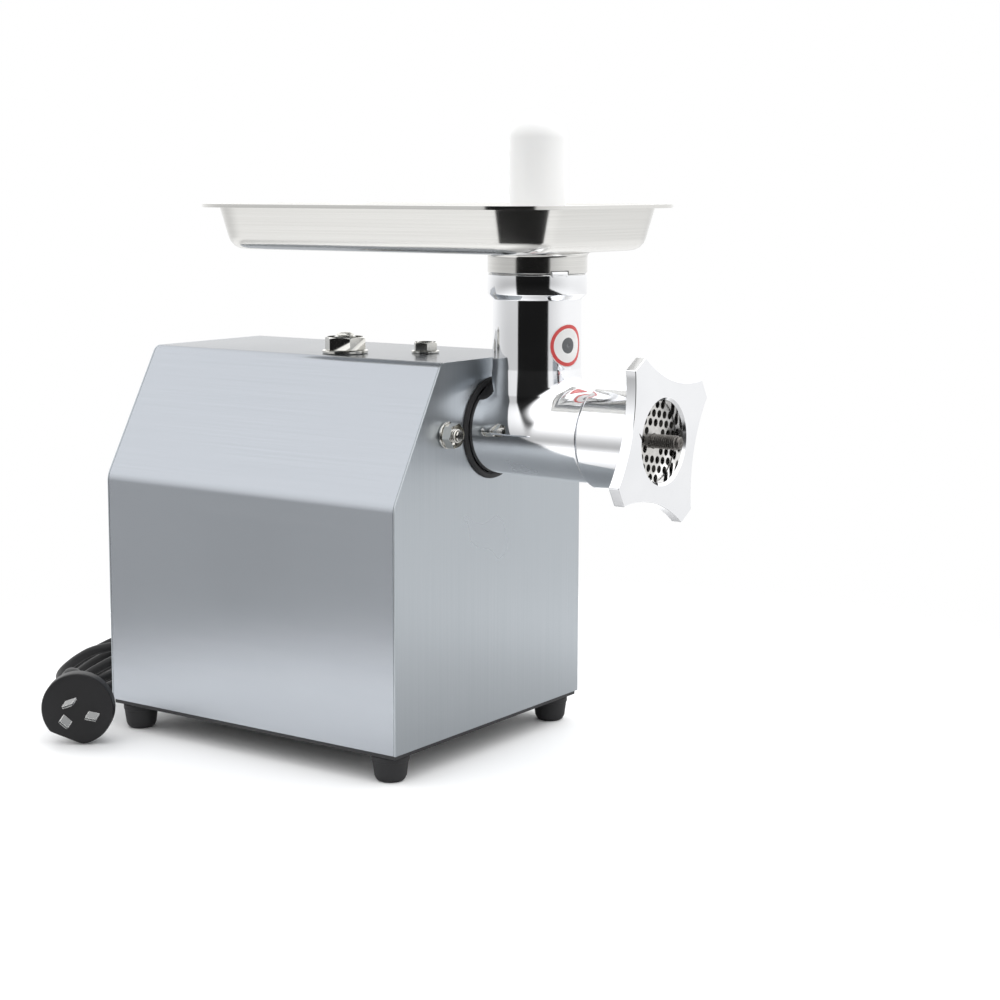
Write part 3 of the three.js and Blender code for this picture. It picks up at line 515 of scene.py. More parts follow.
steel_sheet = finish_of(
    "stainless_sheet", (0.395, 0.42, 0.455), (0.44, 0.465, 0.50), (0.17, 0.22), metallic=0.84, grain=(900, 6, 900),
    grain_depth=0.0015, blotch=7, tone="Grain", rim=0.6,
)
bpy.ops.object.select_all(action="DESELECT")
bpy.ops.mesh.primitive_plane_add(
    size=1, location=(0, sum(COVER_Y) / 2, TOP), scale=(2 * HALF_TOP, COVER_Y[1] - COVER_Y[0], 1)
)
cover = begin("housing_sheet")
bpy.ops.object.mode_set(mode="OBJECT")
bpy.ops.object.transform_apply(location=True, rotation=True, scale=True)
bpy.context.object.data.transform(Matrix.Diagonal((2 * HALF_TOP / cover.dimensions.x, 1, 1, 1)))
cover_grow = (COVER_Y[1] - COVER_Y[0]) / cover.dimensions.y
cover.data.transform(Matrix.Diagonal((1, cover_grow, 1, 1)))
cover.data.transform(Matrix.Translation((0, sum(COVER_Y) / 2 * (1 - cover_grow), 0)))
bpy.ops.object.mode_set(mode="EDIT")
for side in (-1, 1):
    choose(cover, "EDGE", lambda middle, way: side * middle.x > HALF_TOP - 0.001)
    bpy.ops.mesh.extrude_edges_move(
        TRANSFORM_OT_translate={"value": (side * (HALF_WIDTH - HALF_TOP), 0, SHOULDER - TOP)}
    )
    bpy.ops.mesh.extrude_edges_move(TRANSFORM_OT_translate={"value": (0, 0, SKIRT - SHOULDER)})
choose(cover, "EDGE", lambda middle, way: abs(way.y) > 0.9 and middle.z > SKIRT + 0.01)
bpy.ops.mesh.bevel(offset=BEND_RADIUS, segments=6)
bpy.ops.mesh.select_all(action="SELECT")
bpy.ops.mesh.normals_make_consistent(inside=False)
close()
modify(cover, "SOLIDIFY", thickness=SHEET, offset=-1)
cut_away(
    cover,
    turned("tool", [(0, 285), (5.6, 285), (5.6, 300), (0, 300)], 48, centre=(0, 1, 0)),
    turned("tool", [(0, 285), (8.6, 285), (8.6, 300), (0, 300)], 48, centre=(-36, 48, 0)),
    turned("tool", [(0, -5), (6.6, -5), (6.6, 5), (0, 5)], 48,
           frame_of=Matrix.Translation((0, 0.062, 0)) @ SLOPE_OUT),
    block("tool", (-14, -9.8, -5), (14, 9.8, 5), Matrix.Translation((0, 0.020, 0)) @ SLOPE_OUT),
)
soften(cover, 0.00018, 2, 60)
fit(cover, "housing", steel_sheet, "brushed_steel", "housing_cover")

# ---- end panels ----
# Flat stainless sheets that close the cover at both ends: a satin front one with the hole for the head, and
# a rear one with nine cooling slots in front of the motor's fan and the cord's hole.
satin_sheet = finish_of(
    "satin_sheet", (0.40, 0.435, 0.465), (0.47, 0.50, 0.53), (0.27, 0.34), metallic=0.88, grain=(900, 900, 6),
    grain_depth=0.0015, blotch=8, tone="Grain",
)


def end_panel(name, y):
    """A sheet with the housing's five-sided outline, its front face at y, its corners as round as the bends."""
    bpy.ops.object.select_all(action="DESELECT")
    bpy.ops.mesh.primitive_circle_add(vertices=6, radius=0.1, fill_type="NGON")
    panel = begin(name)
    bpy.ops.object.mode_set(mode="OBJECT")
    corners = [(1, SKIRT), (1, SHOULDER), (2, TOP), (-2, TOP), (-1, SHOULDER), (-1, SKIRT)]
    for vertex, (side, z) in zip(panel.data.vertices, corners):
        x = (HALF_WIDTH if abs(side) == 1 else HALF_TOP) * (1 if side > 0 else -1)
        vertex.co = (x, y, z)
    bpy.ops.object.mode_set(mode="EDIT")
    choose(panel, "VERT", lambda place: place.z > SKIRT + 0.01)
    bpy.ops.mesh.bevel(offset=BEND_RADIUS, segments=6, affect="VERTICES")
    bpy.ops.mesh.select_all(action="SELECT")
    bpy.ops.mesh.extrude_region_move(TRANSFORM_OT_translate={"value": (0, SHEET, 0)})
    bpy.ops.mesh.select_all(action="SELECT")
    bpy.ops.mesh.normals_make_consistent(inside=False)
    close()
    return panel


front = end_panel("front_sheet", FRONT)
cut_away(
    front,
    turned("tool", [(0, -70), (35.5, -70), (35.5, -50), (0, -50)], 96, "Y", (0, 0, 241)),
    turned("tool", [(0, -70), (5.6, -70), (5.6, -50), (0, -50)], 32, "Y", (-57.5, 0, 241)),
    turned("tool", [(0, -70), (5.6, -70), (5.6, -50), (0, -50)], 32, "Y", (57.5, 0, 241)),
)
soften(front, 0.0005, 3, 50)
fit(front, "housing", satin_sheet, "brushed_steel", "front_panel")

rear = end_panel("rear_sheet", BACK - SHEET)
for row in range(-4, 5):
    reach = sqrt(50**2 - (11 * row) ** 2)
    slot = block("tool", (-reach, 205, 136 + 11 * row), (reach, 225, 140 + 11 * row))
    modify(slot, "BEVEL", width=0.0019, segments=4, limit_method="ANGLE", angle_limit=radians(60))
    cut_away(rear, slot)
cut_away(rear, turned("tool", [(0, 205), (7, 205), (7, 225), (0, 225)], 40, "Y", (30, 0, 60)))
soften(rear, 0.0003, 2, 50)
fit(rear, "housing", satin_sheet, "brushed_steel", "rear_panel")

# ---- grinding head ----
# One casting, machined and polished bright: the barrel and the upright feed tube flow into each other with a
# cast fillet. The barrel's mouth is threaded for the ring, the tube ends in a collar that carries the tray.
AXIS_Z, TUBE_Y = 0.241, -0.098
FILLET = 0.0075
SKIN_ENDS = (-0.1500, -0.0603, 0.3352)
polished_casting = finish_of(
    "polished_casting", (0.80, 0.81, 0.83), (0.93, 0.935, 0.95), (0.045, 0.11), grain=(120, 40, 40),
    grain_depth=0.002, blotch=26, speck=700, speck_depth=0.0015,
)


def barrel_radius(y):
    return 0.0325 + 0.0009 * np.clip((-0.060 - y) / 0.0915, 0, 1)


def tube_radius(z):
    return 0.0316 + 0.0014 * np.clip((0.287 - z) / 0.018, 0, 1)


def casting_depth(p):
    """How far points lie outside the casting's skin: two round walls, blended by a rolling-ball fillet."""
    barrel = np.hypot(p[:, 0], p[:, 2] - AXIS_Z) - barrel_radius(p[:, 1])
    tube = np.hypot(p[:, 0], p[:, 1] - TUBE_Y) - tube_radius(p[:, 2])
    tube = np.where(p[:, 2] < AXIS_Z, np.maximum(tube, 0.05), tube)
    inner = FILLET - np.hypot(np.maximum(FILLET - barrel, 0), np.maximum(FILLET - tube, 0))
    return np.where((barrel < FILLET) & (tube < FILLET), inner, np.minimum(barrel, tube))


def casting_slope(p):
    nudge = 1e-5
    slope = np.empty_like(p)
    for axis in range(3):
        step = np.zeros(3)
        step[axis] = nudge
        slope[:, axis] = (casting_depth(p + step) - casting_depth(p - step)) / (2 * nudge)
    return slope


barrel_blank = turned("head_casting", [(0, -165), (33, -165), (33, -50), (0, -50)], 96, "Y", (0, 0, 241))
tube_blank = turned("tool", [(0, 241), (32, 241), (32, 350), (0, 350)], 96, "Z", (0, -98, 0))
modify(barrel_blank, "BOOLEAN", operation="UNION", object=tube_blank, solver="EXACT")
bpy.data.objects.remove(tube_blank)
casting = barrel_blank
modify(casting, "REMESH", mode="VOXEL", voxel_size=0.0012)
skin = np.empty(len(casting.data.vertices) * 3)
casting.data.vertices.foreach_get("co", skin)
skin = skin.reshape(-1, 3)
loose = (skin[:, 1] > -0.158) & (skin[:, 1] < -0.054) & (skin[:, 2] < 0.344)
for _ in range(6):
    at = skin[loose]
    slope = casting_slope(at)
    at -= slope * (casting_depth(at) / np.maximum((slope**2).sum(1), 0.2))[:, None]
    skin[loose] = at
casting.data.vertices.foreach_set("co", skin.ravel())
casting.data.update()
alone(casting)
bpy.ops.object.mode_set(mode="EDIT")
for place, way in (((0, SKIN_ENDS[0], 0), (0, -1, 0)), ((0, SKIN_ENDS[1], 0), (0, 1, 0)),
                   ((0, 0, SKIN_ENDS[2]), (0, 0, 1))):
    bpy.ops.mesh.select_all(action="SELECT")
    bpy.ops.mesh.bisect(plane_co=place, plane_no=way, clear_outer=True)
bpy.ops.object.mode_set(mode="OBJECT")


def thread(radius, depth, pitch, start, end):
    """Profile points of a thread's ridges between two heights."""
    points, height, way = [], start, 1 if end > start else -1
    while (end - height) * way > pitch * 0.9:
        points += [(radius, height + way * pitch * 0.12), (radius, height + way * pitch * 0.3),
                   (radius - depth, height + way * pitch * 0.62), (radius - depth, height + way * pitch * 0.8)]
        height += way * pitch
    return points


mouth = turned("tool", [
    (33.4, -150), (33.25, -151), (32.6, -151.5), (31.9, -151.9), (31.9, -154.5),
    *thread(33.4, 1.3, 3, -155, -190), (32.6, -191), (31.7, -191), (31.3, -190.6), (31.3, -186.3),
    (29.3, -186.3), (29.3, -173), (26, -172), (26, -171),
], 128, "Y", (0, 0, 241))
spigot = turned("tool", [
    (32.5, -60.3), (32.5, 2.6), (31.2, 4), (13.6, 4), (12.9, 3.3), (12.9, -8), (26, -8), (26, -9),
], 128, "Y", (0, 0, 241))
collar = turned("tool", [
    (31.6, 335.2), (31.75, 335.9), (34.9, 338.9), (35.3, 339.8), (35.3, 352.7), (34.6, 353.5), (27.2, 353.5),
    (26.5, 352.8), (26.5, 340),
], 128, "Z", (0, -98, 0))
bore = turned("tool", [(0, -171), (26, -171), (26, -9), (0, -9)], 128, "Y", (0, 0, 241))
feed_bore = turned("tool", [(0, 241), (26.5, 241), (26.5, 340), (0, 340)], 128, "Z", (0, -98, 0))
modify(bore, "BOOLEAN", operation="UNION", object=feed_bore, solver="EXACT")
bpy.data.objects.remove(feed_bore)
alone(bore)
bpy.ops.object.mode_set(mode="EDIT")
choose(bore, "FACE", lambda middle, normal: abs(normal.y) > 0.99 and (middle.y < -0.1705 or middle.y > -0.0095)
       or normal.z > 0.99 and middle.z > 0.339)
bpy.ops.mesh.delete(type="FACE")
bpy.ops.mesh.select_all(action="SELECT")
bpy.ops.mesh.flip_normals()
bpy.ops.object.mode_set(mode="OBJECT")
lug = block("tool", (32.3, -6.5, 351.5), (35.0, 6.5, 355.9),
            Matrix.Translation((0, TUBE_Y, 0)) @ Matrix.Rotation(radians(-120), 4, "Z"))
modify(lug, "BEVEL", width=0.0008, segments=3, limit_method="ANGLE")
joined(casting, mouth, spigot, collar, bore, lug)
alone(casting)
bpy.ops.mesh.customdata_custom_splitnormals_clear()
bpy.ops.object.shade_smooth_by_angle(angle=radians(38))
mesh = casting.data
turn_of = [(0.0, 0.0, 0.0)] * len(mesh.loops)
points = np.array([v.co for v in mesh.vertices])
on_skin = np.abs(casting_depth(points)) < 2e-5
on_skin &= (points[:, 1] < SKIN_ENDS[1] + 1e-4) & (points[:, 1] > SKIN_ENDS[0] - 1e-4)
on_skin &= points[:, 2] < SKIN_ENDS[2] + 1e-4
slopes = casting_slope(points)
slopes /= np.maximum(np.linalg.norm(slopes, axis=1), 1e-9)[:, None]
for face in mesh.polygons:
    for loop, corner in zip(face.loop_indices, face.vertices):
        if on_skin[corner] and Vector(slopes[corner]).dot(face.normal) > 0.9:
            turn_of[loop] = tuple(slopes[corner])
mesh.normals_split_custom_set(turn_of)
fit(casting, "head", polished_casting, "polished_casting", "head_barrel")

# ---- star ring nut ----
# The casting that clamps the cutting plate: a threaded skirt behind a four-lobed hand wheel with hollow
# flanks between flat tips and a turned, chamfered opening. Polished all over.
TIP, VALLEY = 64.8, 43.0
star_points = []
for lobe in range(4):
    tips = [radians(30 + 90 * lobe + turn) for turn in (-7, 7, 83)]
    here, after, following = (Vector((TIP * cos(a), TIP * sin(a))) for a in tips)
    valley = Vector((VALLEY * cos(tips[1] + radians(38)), VALLEY * sin(tips[1] + radians(38))))
    star_points += [here, after]
    for step in range(1, 28):
        share = step / 28
        chord = after.lerp(following, share)
        star_points.append(chord + (valley - (after + following) / 2) * sin(pi * share) ** 0.8)
bpy.ops.object.select_all(action="DESELECT")
bpy.ops.mesh.primitive_circle_add(vertices=len(star_points), radius=0.05, fill_type="NGON")
ring = begin("star_ring_nut")
bpy.ops.object.mode_set(mode="OBJECT")
for vertex, point in zip(ring.data.vertices, star_points):
    vertex.co = (point.x / 1000, -0.203, AXIS_Z + point.y / 1000)
bpy.ops.object.mode_set(mode="EDIT")
choose(ring, "VERT", lambda place: hypot(place.x, place.z - AXIS_Z) > 0.0647)
bpy.ops.mesh.bevel(offset=0.0011, segments=3, affect="VERTICES")
bpy.ops.mesh.select_all(action="SELECT")
bpy.ops.mesh.extrude_region_move(TRANSFORM_OT_translate={"value": (0, 0.008, 0)})
bpy.ops.mesh.select_all(action="SELECT")
bpy.ops.mesh.normals_make_consistent(inside=False)
close()
cut_away(ring, turned("tool", [(0, -204), (31.4, -204), (28.6, -201.2), (28.6, -190), (0, -190)], 128, "Y",
                      (0, 0, 241)))
modify(ring, "BEVEL", width=0.0007, segments=3, limit_method="ANGLE", angle_limit=radians(50))
ring_skirt = turned("tool", [
    (33.8, -195.5), (40, -195.3), (38.2, -194.6), (37.2, -193.4), (36.7, -191.6), (36.7, -155.2), (36.3, -154.3),
    (35.6, -154), (34.4, -154), (33.8, -154.6), (33.8, -195.5),
], 128, "Y", (0, 0, 241))
joined(ring, ring_skirt)
smooth(ring, 30)
fit(ring, "ring", polished_casting, "polished_casting", "ring_nut")

# ---- cutting plate ----
# A hardened steel disc drilled through with rows of 5.4 mm holes round a plain boss. A notch on its left
# rim fits over the barrel's key, and its face is ground, then dulled by use.
plate_steel = finish_of(
    "ground_plate", (0.50, 0.49, 0.47), (0.74, 0.73, 0.71), (0.2, 0.34), grain=(300, 60, 300),
    grain_depth=0.012, blotch=60, tone="Grain",
)
plate = turned("cutting_plate_drilled", [
    (5.4, -194.7), (9.4, -194.7), (30.6, -194.7), (31, -194.3), (31, -187), (30.6, -186.6), (5.4, -186.6),
    (5.4, -194.7),
], 96, "Y", (0, 0, 241))
HOLE_PITCH = 7.3
row_way = Vector((cos(radians(170)), sin(radians(170)))) * HOLE_PITCH
next_row = Matrix.Rotation(radians(60), 2) @ row_way
drills = []
for row in range(-5, 6):
    for column in range(-5, 6):
        spot = row_way * column + next_row * row
        if 9.5 < spot.length < 27.2:
            drills.append(turned("tool", [(0, -198), (2.7, -198), (2.7, -184), (0, -184)], 20, "Y",
                                 (spot.x, 0, 241 + spot.y)))
cut_away(plate, joined(*drills), block("tool", (-33, -196, 238.4), (-27.4, -185, 243.6)))
modify(plate, "BEVEL", width=0.0002, segments=1, limit_method="ANGLE", angle_limit=radians(50))
smooth(plate, 30)
fit(plate, "plate", plate_steel, "tool_steel", "cutting_plate")

# ---- food tray ----
# A deep-drawn stainless pan with a folded rim and generous corners, and a pressed neck that drops into the
# feed tube. Brushed across, brighter than the housing.
tray_steel = finish_of(
    "tray_steel", (0.60, 0.595, 0.575), (0.72, 0.715, 0.695), (0.12, 0.17), grain=(5, 5, 1100),
    grain_depth=0.0012, blotch=9, tone="Grain",
)
TRAY_Y = (-0.168, 0.153)
bpy.ops.object.select_all(action="DESELECT")
bpy.ops.mesh.primitive_circle_add(vertices=4, radius=0.1, fill_type="NGON")
pan = begin("food_tray")
bpy.ops.object.mode_set(mode="OBJECT")
for vertex, (x, y) in zip(pan.data.vertices, [(0.105, TRAY_Y[0]), (0.105, TRAY_Y[1]), (-0.105, TRAY_Y[1]),
                                              (-0.105, TRAY_Y[0])]):
    vertex.co = (x, y, 0.4016)
bpy.ops.object.mode_set(mode="EDIT")
bpy.ops.mesh.select_all(action="SELECT")
bpy.ops.mesh.normals_make_consistent(inside=False)
bpy.ops.mesh.bevel(offset=0.050, segments=16, affect="VERTICES")
bpy.ops.mesh.select_all(action="SELECT")
for inset, drop in ((0.8, 0), (11.4, 0), (0.7, 0.25), (0.5, 0.7), (0.5, 1.4), (6.2, 21.6), (1.6, 3.4), (2.4, 2.6),
                    (3.2, 1.6), (4.2, 0.55), (6, 0.3)):
    bpy.ops.mesh.inset(thickness=inset / 1000, depth=-drop / 1000)
choose(pan, "FACE", lambda middle, normal: normal.z < -0.5)
if any(face.select for face in pan.data.polygons):
    bpy.ops.mesh.flip_normals()
bpy.ops.mesh.select_mode(type="EDGE")
bpy.ops.mesh.select_all(action="DESELECT")
bpy.ops.mesh.select_non_manifold()
bpy.ops.mesh.extrude_edges_move(TRANSFORM_OT_translate={"value": (0, 0, -0.0026)})
bpy.ops.mesh.select_all(action="SELECT")
bpy.ops.mesh.normals_make_consistent(inside=False)
close()
modify(pan, "SOLIDIFY", thickness=0.0011, offset=-1)
cut_away(pan, turned("tool", [(0, 360), (24.4, 360), (24.4, 380), (0, 380)], 96, "Z", (0, -98, 0)))
neck = turned("tool", [
    (24, 369.4), (24.6, 369.5), (30, 368.4), (37.4, 368.1), (36.2, 367.4), (35.5, 366.2), (35.3, 364.6),
    (35.3, 354.6), (34.7, 353.8), (26.2, 353.8), (26.2, 346.6), (25.6, 346), (24, 346), (24, 369.4),
], 128, "Z", (0, -98, 0))
cut_away(neck, block("tool", (31.8, -7, 352.5), (37.5, 7, 356.3),
                     Matrix.Translation((0, TUBE_Y, 0)) @ Matrix.Rotation(radians(-120), 4, "Z")))
joined(pan, neck)
modify(pan, "BEVEL", width=0.00025, segments=2, limit_method="ANGLE", angle_limit=radians(50))
smooth(pan, 30)
fit(pan, "tray", tray_steel, "brushed_steel", "tray", "tray_neck")

# ---- plunger ----
# A solid rod of white nylon, turned with a domed grip and broken edges, slightly translucent, with a faint painted glow
# that lifts its shaded sides.
nylon = finish_of(
    "white_nylon", (0.70, 0.70, 0.695), (0.75, 0.75, 0.745), (0.34, 0.46), metallic=0, grain=(40, 40, 900),
    grain_depth=0.01, blotch=20, speck=600, speck_depth=0.006,
)
nylon_shader = nylon.node_tree.nodes["Principled BSDF"]
nylon_shader.inputs["Subsurface Weight"].default_value = 0.35
# Painted light: a faint white emission makes the rod glow, lifting its shaded sides; the subsurface scatter is the
# nylon's own translucency.
nylon_shader.inputs["Emission Color"].default_value = (0.98, 0.99, 1, 1)
nylon_shader.inputs["Emission Strength"].default_value = 0.2
nylon_shader.inputs["Subsurface Radius"].default_value = (0.006, 0.0055, 0.005)
dome = [(20 * cos(radians(a)), 448 + 20 * sin(radians(a))) for a in range(6, 90, 6)]
plunger = turned("plunger_rod", [(0, 266.5), (18.2, 266.5), (19.4, 266.9), (20, 268.1), (20, 330), (20, 448),
                                 *dome, (0, 468)], 96, "Z", (0, -98, 0))
fit(plunger, "plunger", nylon, "white_nylon", "plunger")

# ---- seal and front fasteners ----
# A moulded rubber ring closes the gap between barrel and front sheet. Two studs from the gearbox hold the head's
# flange through the sheet, each with a plain washer and a zinc-plated hexagon nut.
rubber = finish_of(
    "black_rubber", (0.012, 0.012, 0.013), (0.028, 0.028, 0.03), (0.5, 0.68), metallic=0, grain=(90, 90, 90),
    grain_depth=0.02, blotch=40, speck=1500, speck_depth=0.012, specular=0.35,
)
zinc = finish_of(
    "zinc_plate", (0.56, 0.555, 0.53), (0.70, 0.69, 0.65), (0.12, 0.2), grain=(240, 240, 240),
    grain_depth=0.008, blotch=160, speck=1400, speck_depth=0.004, wear_and_glint=(0.35, 0.42, (0.92, 0.91, 0.88)),
)
seal = turned("barrel_seal", [
    (33.2, -61.9), (34.2, -62.3), (35.8, -62.2), (36.7, -61.5), (37.1, -60.4), (35.3, -60.3), (35.2, -58.6),
    (33.3, -58.6), (33.2, -61.9),
], 96, "Y", (0, 0, 241))
fit(seal, "housing", rubber, "rubber", "barrel_seal_ring")


def hex_head(name, across, height, chamfer=0.9, both=False):
    """A hexagon standing on the XY plane with its corners turned off, in millimetres."""
    corner = across / sqrt(3)
    bpy.ops.object.select_all(action="DESELECT")
    bpy.ops.mesh.primitive_cylinder_add(
        vertices=6, radius=corner / 1000, depth=height / 1000, location=(0, 0, height / 2000)
    )
    head = begin(name)
    close()
    foot = [(across * 0.487, 0), (corner, chamfer)] if both else [(corner + 0.1, 0)]
    round_tool = turned("tool", [(0, 0), *foot, (corner, height - chamfer), (across * 0.487, height), (0, height)], 72)
    modify(head, "BOOLEAN", operation="INTERSECT", object=round_tool, solver="EXACT")
    bpy.data.objects.remove(round_tool)
    return head


def screw_ridges(radius, start, end, pitch=1.5, depth=0.75):
    return thread(radius, depth, pitch, start, end)


for side, x in (("left", -57.5), ("right", 57.5)):
    stud = turned(f"front_stud_{side}_rod", [
        (0, -51), (4.9, -51), (4.9, -60.5), *screw_ridges(4.9, -60.6, -71.6), (4.2, -71.9), (3.7, -72.5), (0, -72.5),
    ], 40, "Y", (x, 0, 241))
    fit(stud, "housing", zinc, "zinc_steel", f"front_stud_{side}")
    washer = turned(f"front_washer_{side}_ring", [
        (5.2, -60.3), (9.3, -60.3), (9.6, -60.6), (9.6, -61.7), (9.2, -62.1), (5.2, -62.1), (5.2, -60.3),
    ], 56, "Y", (x, 0, 241))
    fit(washer, "housing", zinc, "zinc_steel", f"front_washer_{side}")
    nut = hex_head(f"front_nut_{side}_hex", 16, 7.6, 0.9, True)
    cut_away(nut, turned("tool", [(0, -1), (5.9, -1), (5, 0.9), (5, 6.7), (5.9, 8.6), (0, 8.6)], 40))
    nut.data.transform(
        Matrix.Translation((x / 1000, -0.0624, AXIS_Z)) @ Matrix.Rotation(radians(20), 4, "Y")
        @ Matrix.Rotation(radians(90), 4, "X")
    )
    soften(nut, 0.00014, 2, 40)
    fit(nut, "housing", zinc, "zinc_steel", f"front_nut_{side}")

# ---- lock bolt and oil filler plug ----
# Both screw down through the top of the cover into the gearbox casting. The large plug closes the oil filling
# hole and has a round crown; the small bolt clamps the head's spigot.
lock_washer = turned("lock_bolt_ring", [
    (5.4, 292.3), (10.1, 292.3), (10.4, 292.6), (10.4, 293.6), (10, 294), (5.4, 294), (5.4, 292.3),
], 64, "Z", (0, 1, 0))
fit(lock_washer, "lock_washer", zinc, "zinc_steel", "lock_bolt_washer")
lock_bolt = hex_head("lock_bolt_hex", 16, 6, 0.8)
soften(lock_bolt, 0.00014, 2, 40)
lock_bolt.data.transform(Matrix.Translation((0, 0.001, 0.2943)) @ Matrix.Rotation(radians(14), 4, "Z"))
lock_shank = turned("tool", [(0, 275), (4.2, 275), *screw_ridges(5, 275.8, 293), (5, 294.6), (0, 294.6)], 40, "Z",
                    (0, 1, 0))
lock_dish = turned("tool", [(5.6, 300.2), (5.9, 300.45), (6.2, 300.2), (5.6, 300.2)], 48, "Z", (0, 1, 0))
joined(lock_bolt, lock_shank, lock_dish)
smooth(lock_bolt)
fit(lock_bolt, "lock_bolt", zinc, "zinc_steel", "head_lock_bolt")

oil_washer = turned("oil_plug_ring", [
    (8.4, 292.3), (16.6, 292.3), (17, 292.7), (17, 294.2), (16.5, 294.6), (8.4, 294.6), (8.4, 292.3),
], 72, "Z", (-36, 48, 0))
fit(oil_washer, "oil_washer", zinc, "zinc_steel", "oil_plug_washer")
oil_plug = hex_head("oil_plug_hex", 27, 9.5, 1.2)
soften(oil_plug, 0.0002, 2, 40)
oil_plug.data.transform(Matrix.Translation((-0.036, 0.048, 0.2949)) @ Matrix.Rotation(radians(22), 4, "Z"))
oil_shank = turned("tool", [(0, 276), (7, 276), *screw_ridges(8, 277, 293), (8, 295.2), (0, 295.2)], 48, "Z",
                   (-36, 48, 0))
oil_crown = turned("tool", [
    (0, 304), (8.2, 304), (8.2, 304.6), (7, 305), (6.4, 305.4), (6.4, 306), (5.9, 307), (4.6, 307.6), (2.4, 307.9),
    (0, 308),
], 56, "Z", (-36, 48, 0))
joined(oil_plug, oil_shank, oil_crown)
smooth(oil_plug)
fit(oil_plug, "oil_plug", zinc, "zinc_steel", "oil_filler_plug")

# ---- base and feet ----
# A black painted pan closes the bottom. Four tapered rubber feet are screwed to it through a steel bush.
black_paint = finish_of(
    "black_paint", (0.010, 0.010, 0.012), (0.02, 0.02, 0.023), (0.36, 0.5), metallic=0, grain=(260, 260, 260),
    grain_depth=0.03, blotch=30, speck=900, speck_depth=0.01, wear_and_glint=(0.5, 0.62, (0.22, 0.22, 0.23)),
)
CAD_BODY = {node: body for body, nodes in frame["record"]["behaviour"]["bodies"].items() for node in nodes}


def from_cad(name, node, finish, slot, bevel=0.3, angle=35):
    """A merged copy of a CAD node with rounded walls smoothed and sharp edges broken, fitted in its place."""
    piece = bpy.data.objects.new(name, frame["nodes"][node].data.copy())
    bpy.context.collection.objects.link(piece)
    alone(piece)
    bpy.ops.mesh.customdata_custom_splitnormals_clear()
    bpy.ops.object.mode_set(mode="EDIT")
    bpy.ops.mesh.select_all(action="SELECT")
    bpy.ops.mesh.remove_doubles(threshold=2e-6)
    bpy.ops.mesh.dissolve_limited(angle_limit=radians(0.6))
    bpy.ops.object.mode_set(mode="OBJECT")
    if bevel:
        modify(piece, "BEVEL", width=bevel / 1000, segments=2, limit_method="ANGLE", angle_limit=radians(angle))
    smooth(piece, angle)
    return fit(piece, CAD_BODY[node], finish, slot, node)


from_cad("base_pan", "base_plate", black_paint, "black_paint", 0.6)
for corner, x, y in (("front_left", -102, -44), ("front_right", 102, -44), ("rear_left", -102, 200),
                     ("rear_right", 102, 200)):
    foot = turned(f"foot_{corner}_rubber", [
        (0, 5.2), (3.6, 5.2), (4, 4.8), (4, 0.5), (4.5, 0), (9.1, 0), (9.8, 0.5), (10.6, 1.6), (11.5, 3.6),
        (12.9, 14), (13.3, 14.4), (13.4, 15), (13.4, 17.8), (12.9, 18.4), (0, 18.4),
    ], 48, "Z", (x, y, 0))
    fit(foot, "housing", rubber, "rubber", f"foot_{corner}")
    bush = turned(f"foot_{corner}_screw", [(0, 8.2), (1.1, 8.2), (1.3, 7.4), (3.2, 7.2), (3.5, 6.4), (3.5, 5.25),
                                           (0, 5.25), (0, 8.2)], 24, "Z", (x, y, -2.2))
    fit(bush, "housing", zinc, "zinc_steel")

# ---- rear panel screws ----
# Six zinc pan-head screws with a cross recess hold the rear sheet to the cover's flanges.
for number, (x, z) in enumerate([(-108, 34), (108, 34), (-108, 182), (108, 182), (-52, 283), (52, 283)]):
    place = Matrix.Translation((x / 1000, BACK, z / 1000)) @ Matrix.Rotation(radians(-90), 4, "X")
    place = place @ Matrix.Rotation(radians(31 * number), 4, "Z")
    screw = turned(f"rear_screw_{number}", [(0, 0.05), (3.4, 0.05), (3.4, 0.9), (3, 1.6), (2.2, 2.1), (0, 2.3)], 32)
    cut_away(screw, block("tool", (-1.9, -0.35, 1), (1.9, 0.35, 3)), block("tool", (-0.35, -1.9, 1), (0.35, 1.9, 3)))
    screw.data.transform(place)
    smooth(screw, 40)
    fit(screw, "housing", zinc, "zinc_steel")

# ---- switch and overload reset ----
# A rocker switch in a snap-in bezel and a push-button breaker with its ring nut, both on the right shoulder.
moulded_black = finish_of(
    "moulded_black", (0.014, 0.014, 0.016), (0.024, 0.024, 0.027), (0.3, 0.42), metallic=0, grain=(500, 500, 500),
    grain_depth=0.012, blotch=35, speck=1800, speck_depth=0.01,
)
moulded_red = finish_of(
    "moulded_red", (0.42, 0.012, 0.01), (0.56, 0.02, 0.015), (0.2, 0.32), metallic=0, grain=(300, 300, 300),
    grain_depth=0.006, blotch=40, coat=0.3,
)
white_ink = finish_of(
    "white_ink", (0.78, 0.78, 0.77), (0.88, 0.88, 0.87), (0.4, 0.5), metallic=0, grain=(700, 700, 700),
    grain_depth=0.004, blotch=90,
)
from_cad("switch_bezel", "switch_body", moulded_black, "black_plastic", 0.5)
from_cad("switch_paddle", "switch_rocker", moulded_red, "red_plastic", 0.4)
from_cad("reset_ring", "reset_breaker", moulded_black, "black_plastic", 0.25)
from_cad("reset_cap", "reset_button", moulded_red, "red_plastic", 0.3)
PADDLE = Matrix.Translation((0, 0.020, 0)) @ SLOPE_OUT @ Matrix.Translation((0, 0, 0.0015)) @ Matrix.Rotation(
    radians(-10), 4, "Y"
)
on_mark = block("switch_mark_on", (-9.2, -0.5, 2.2), (-5.4, 0.5, 3.05), PADDLE)
on_mark.data.transform(PADDLE @ Matrix.Translation((-0.0073, 0, 0.0027)) @ Matrix.Rotation(radians(8.5), 4, "Y")
                       @ Matrix.Translation((0.0073, 0, -0.0026)) @ PADDLE.inverted())
modify(on_mark, "BEVEL", width=0.0001, segments=2)
fit(on_mark, "rocker", white_ink, "white_nylon")
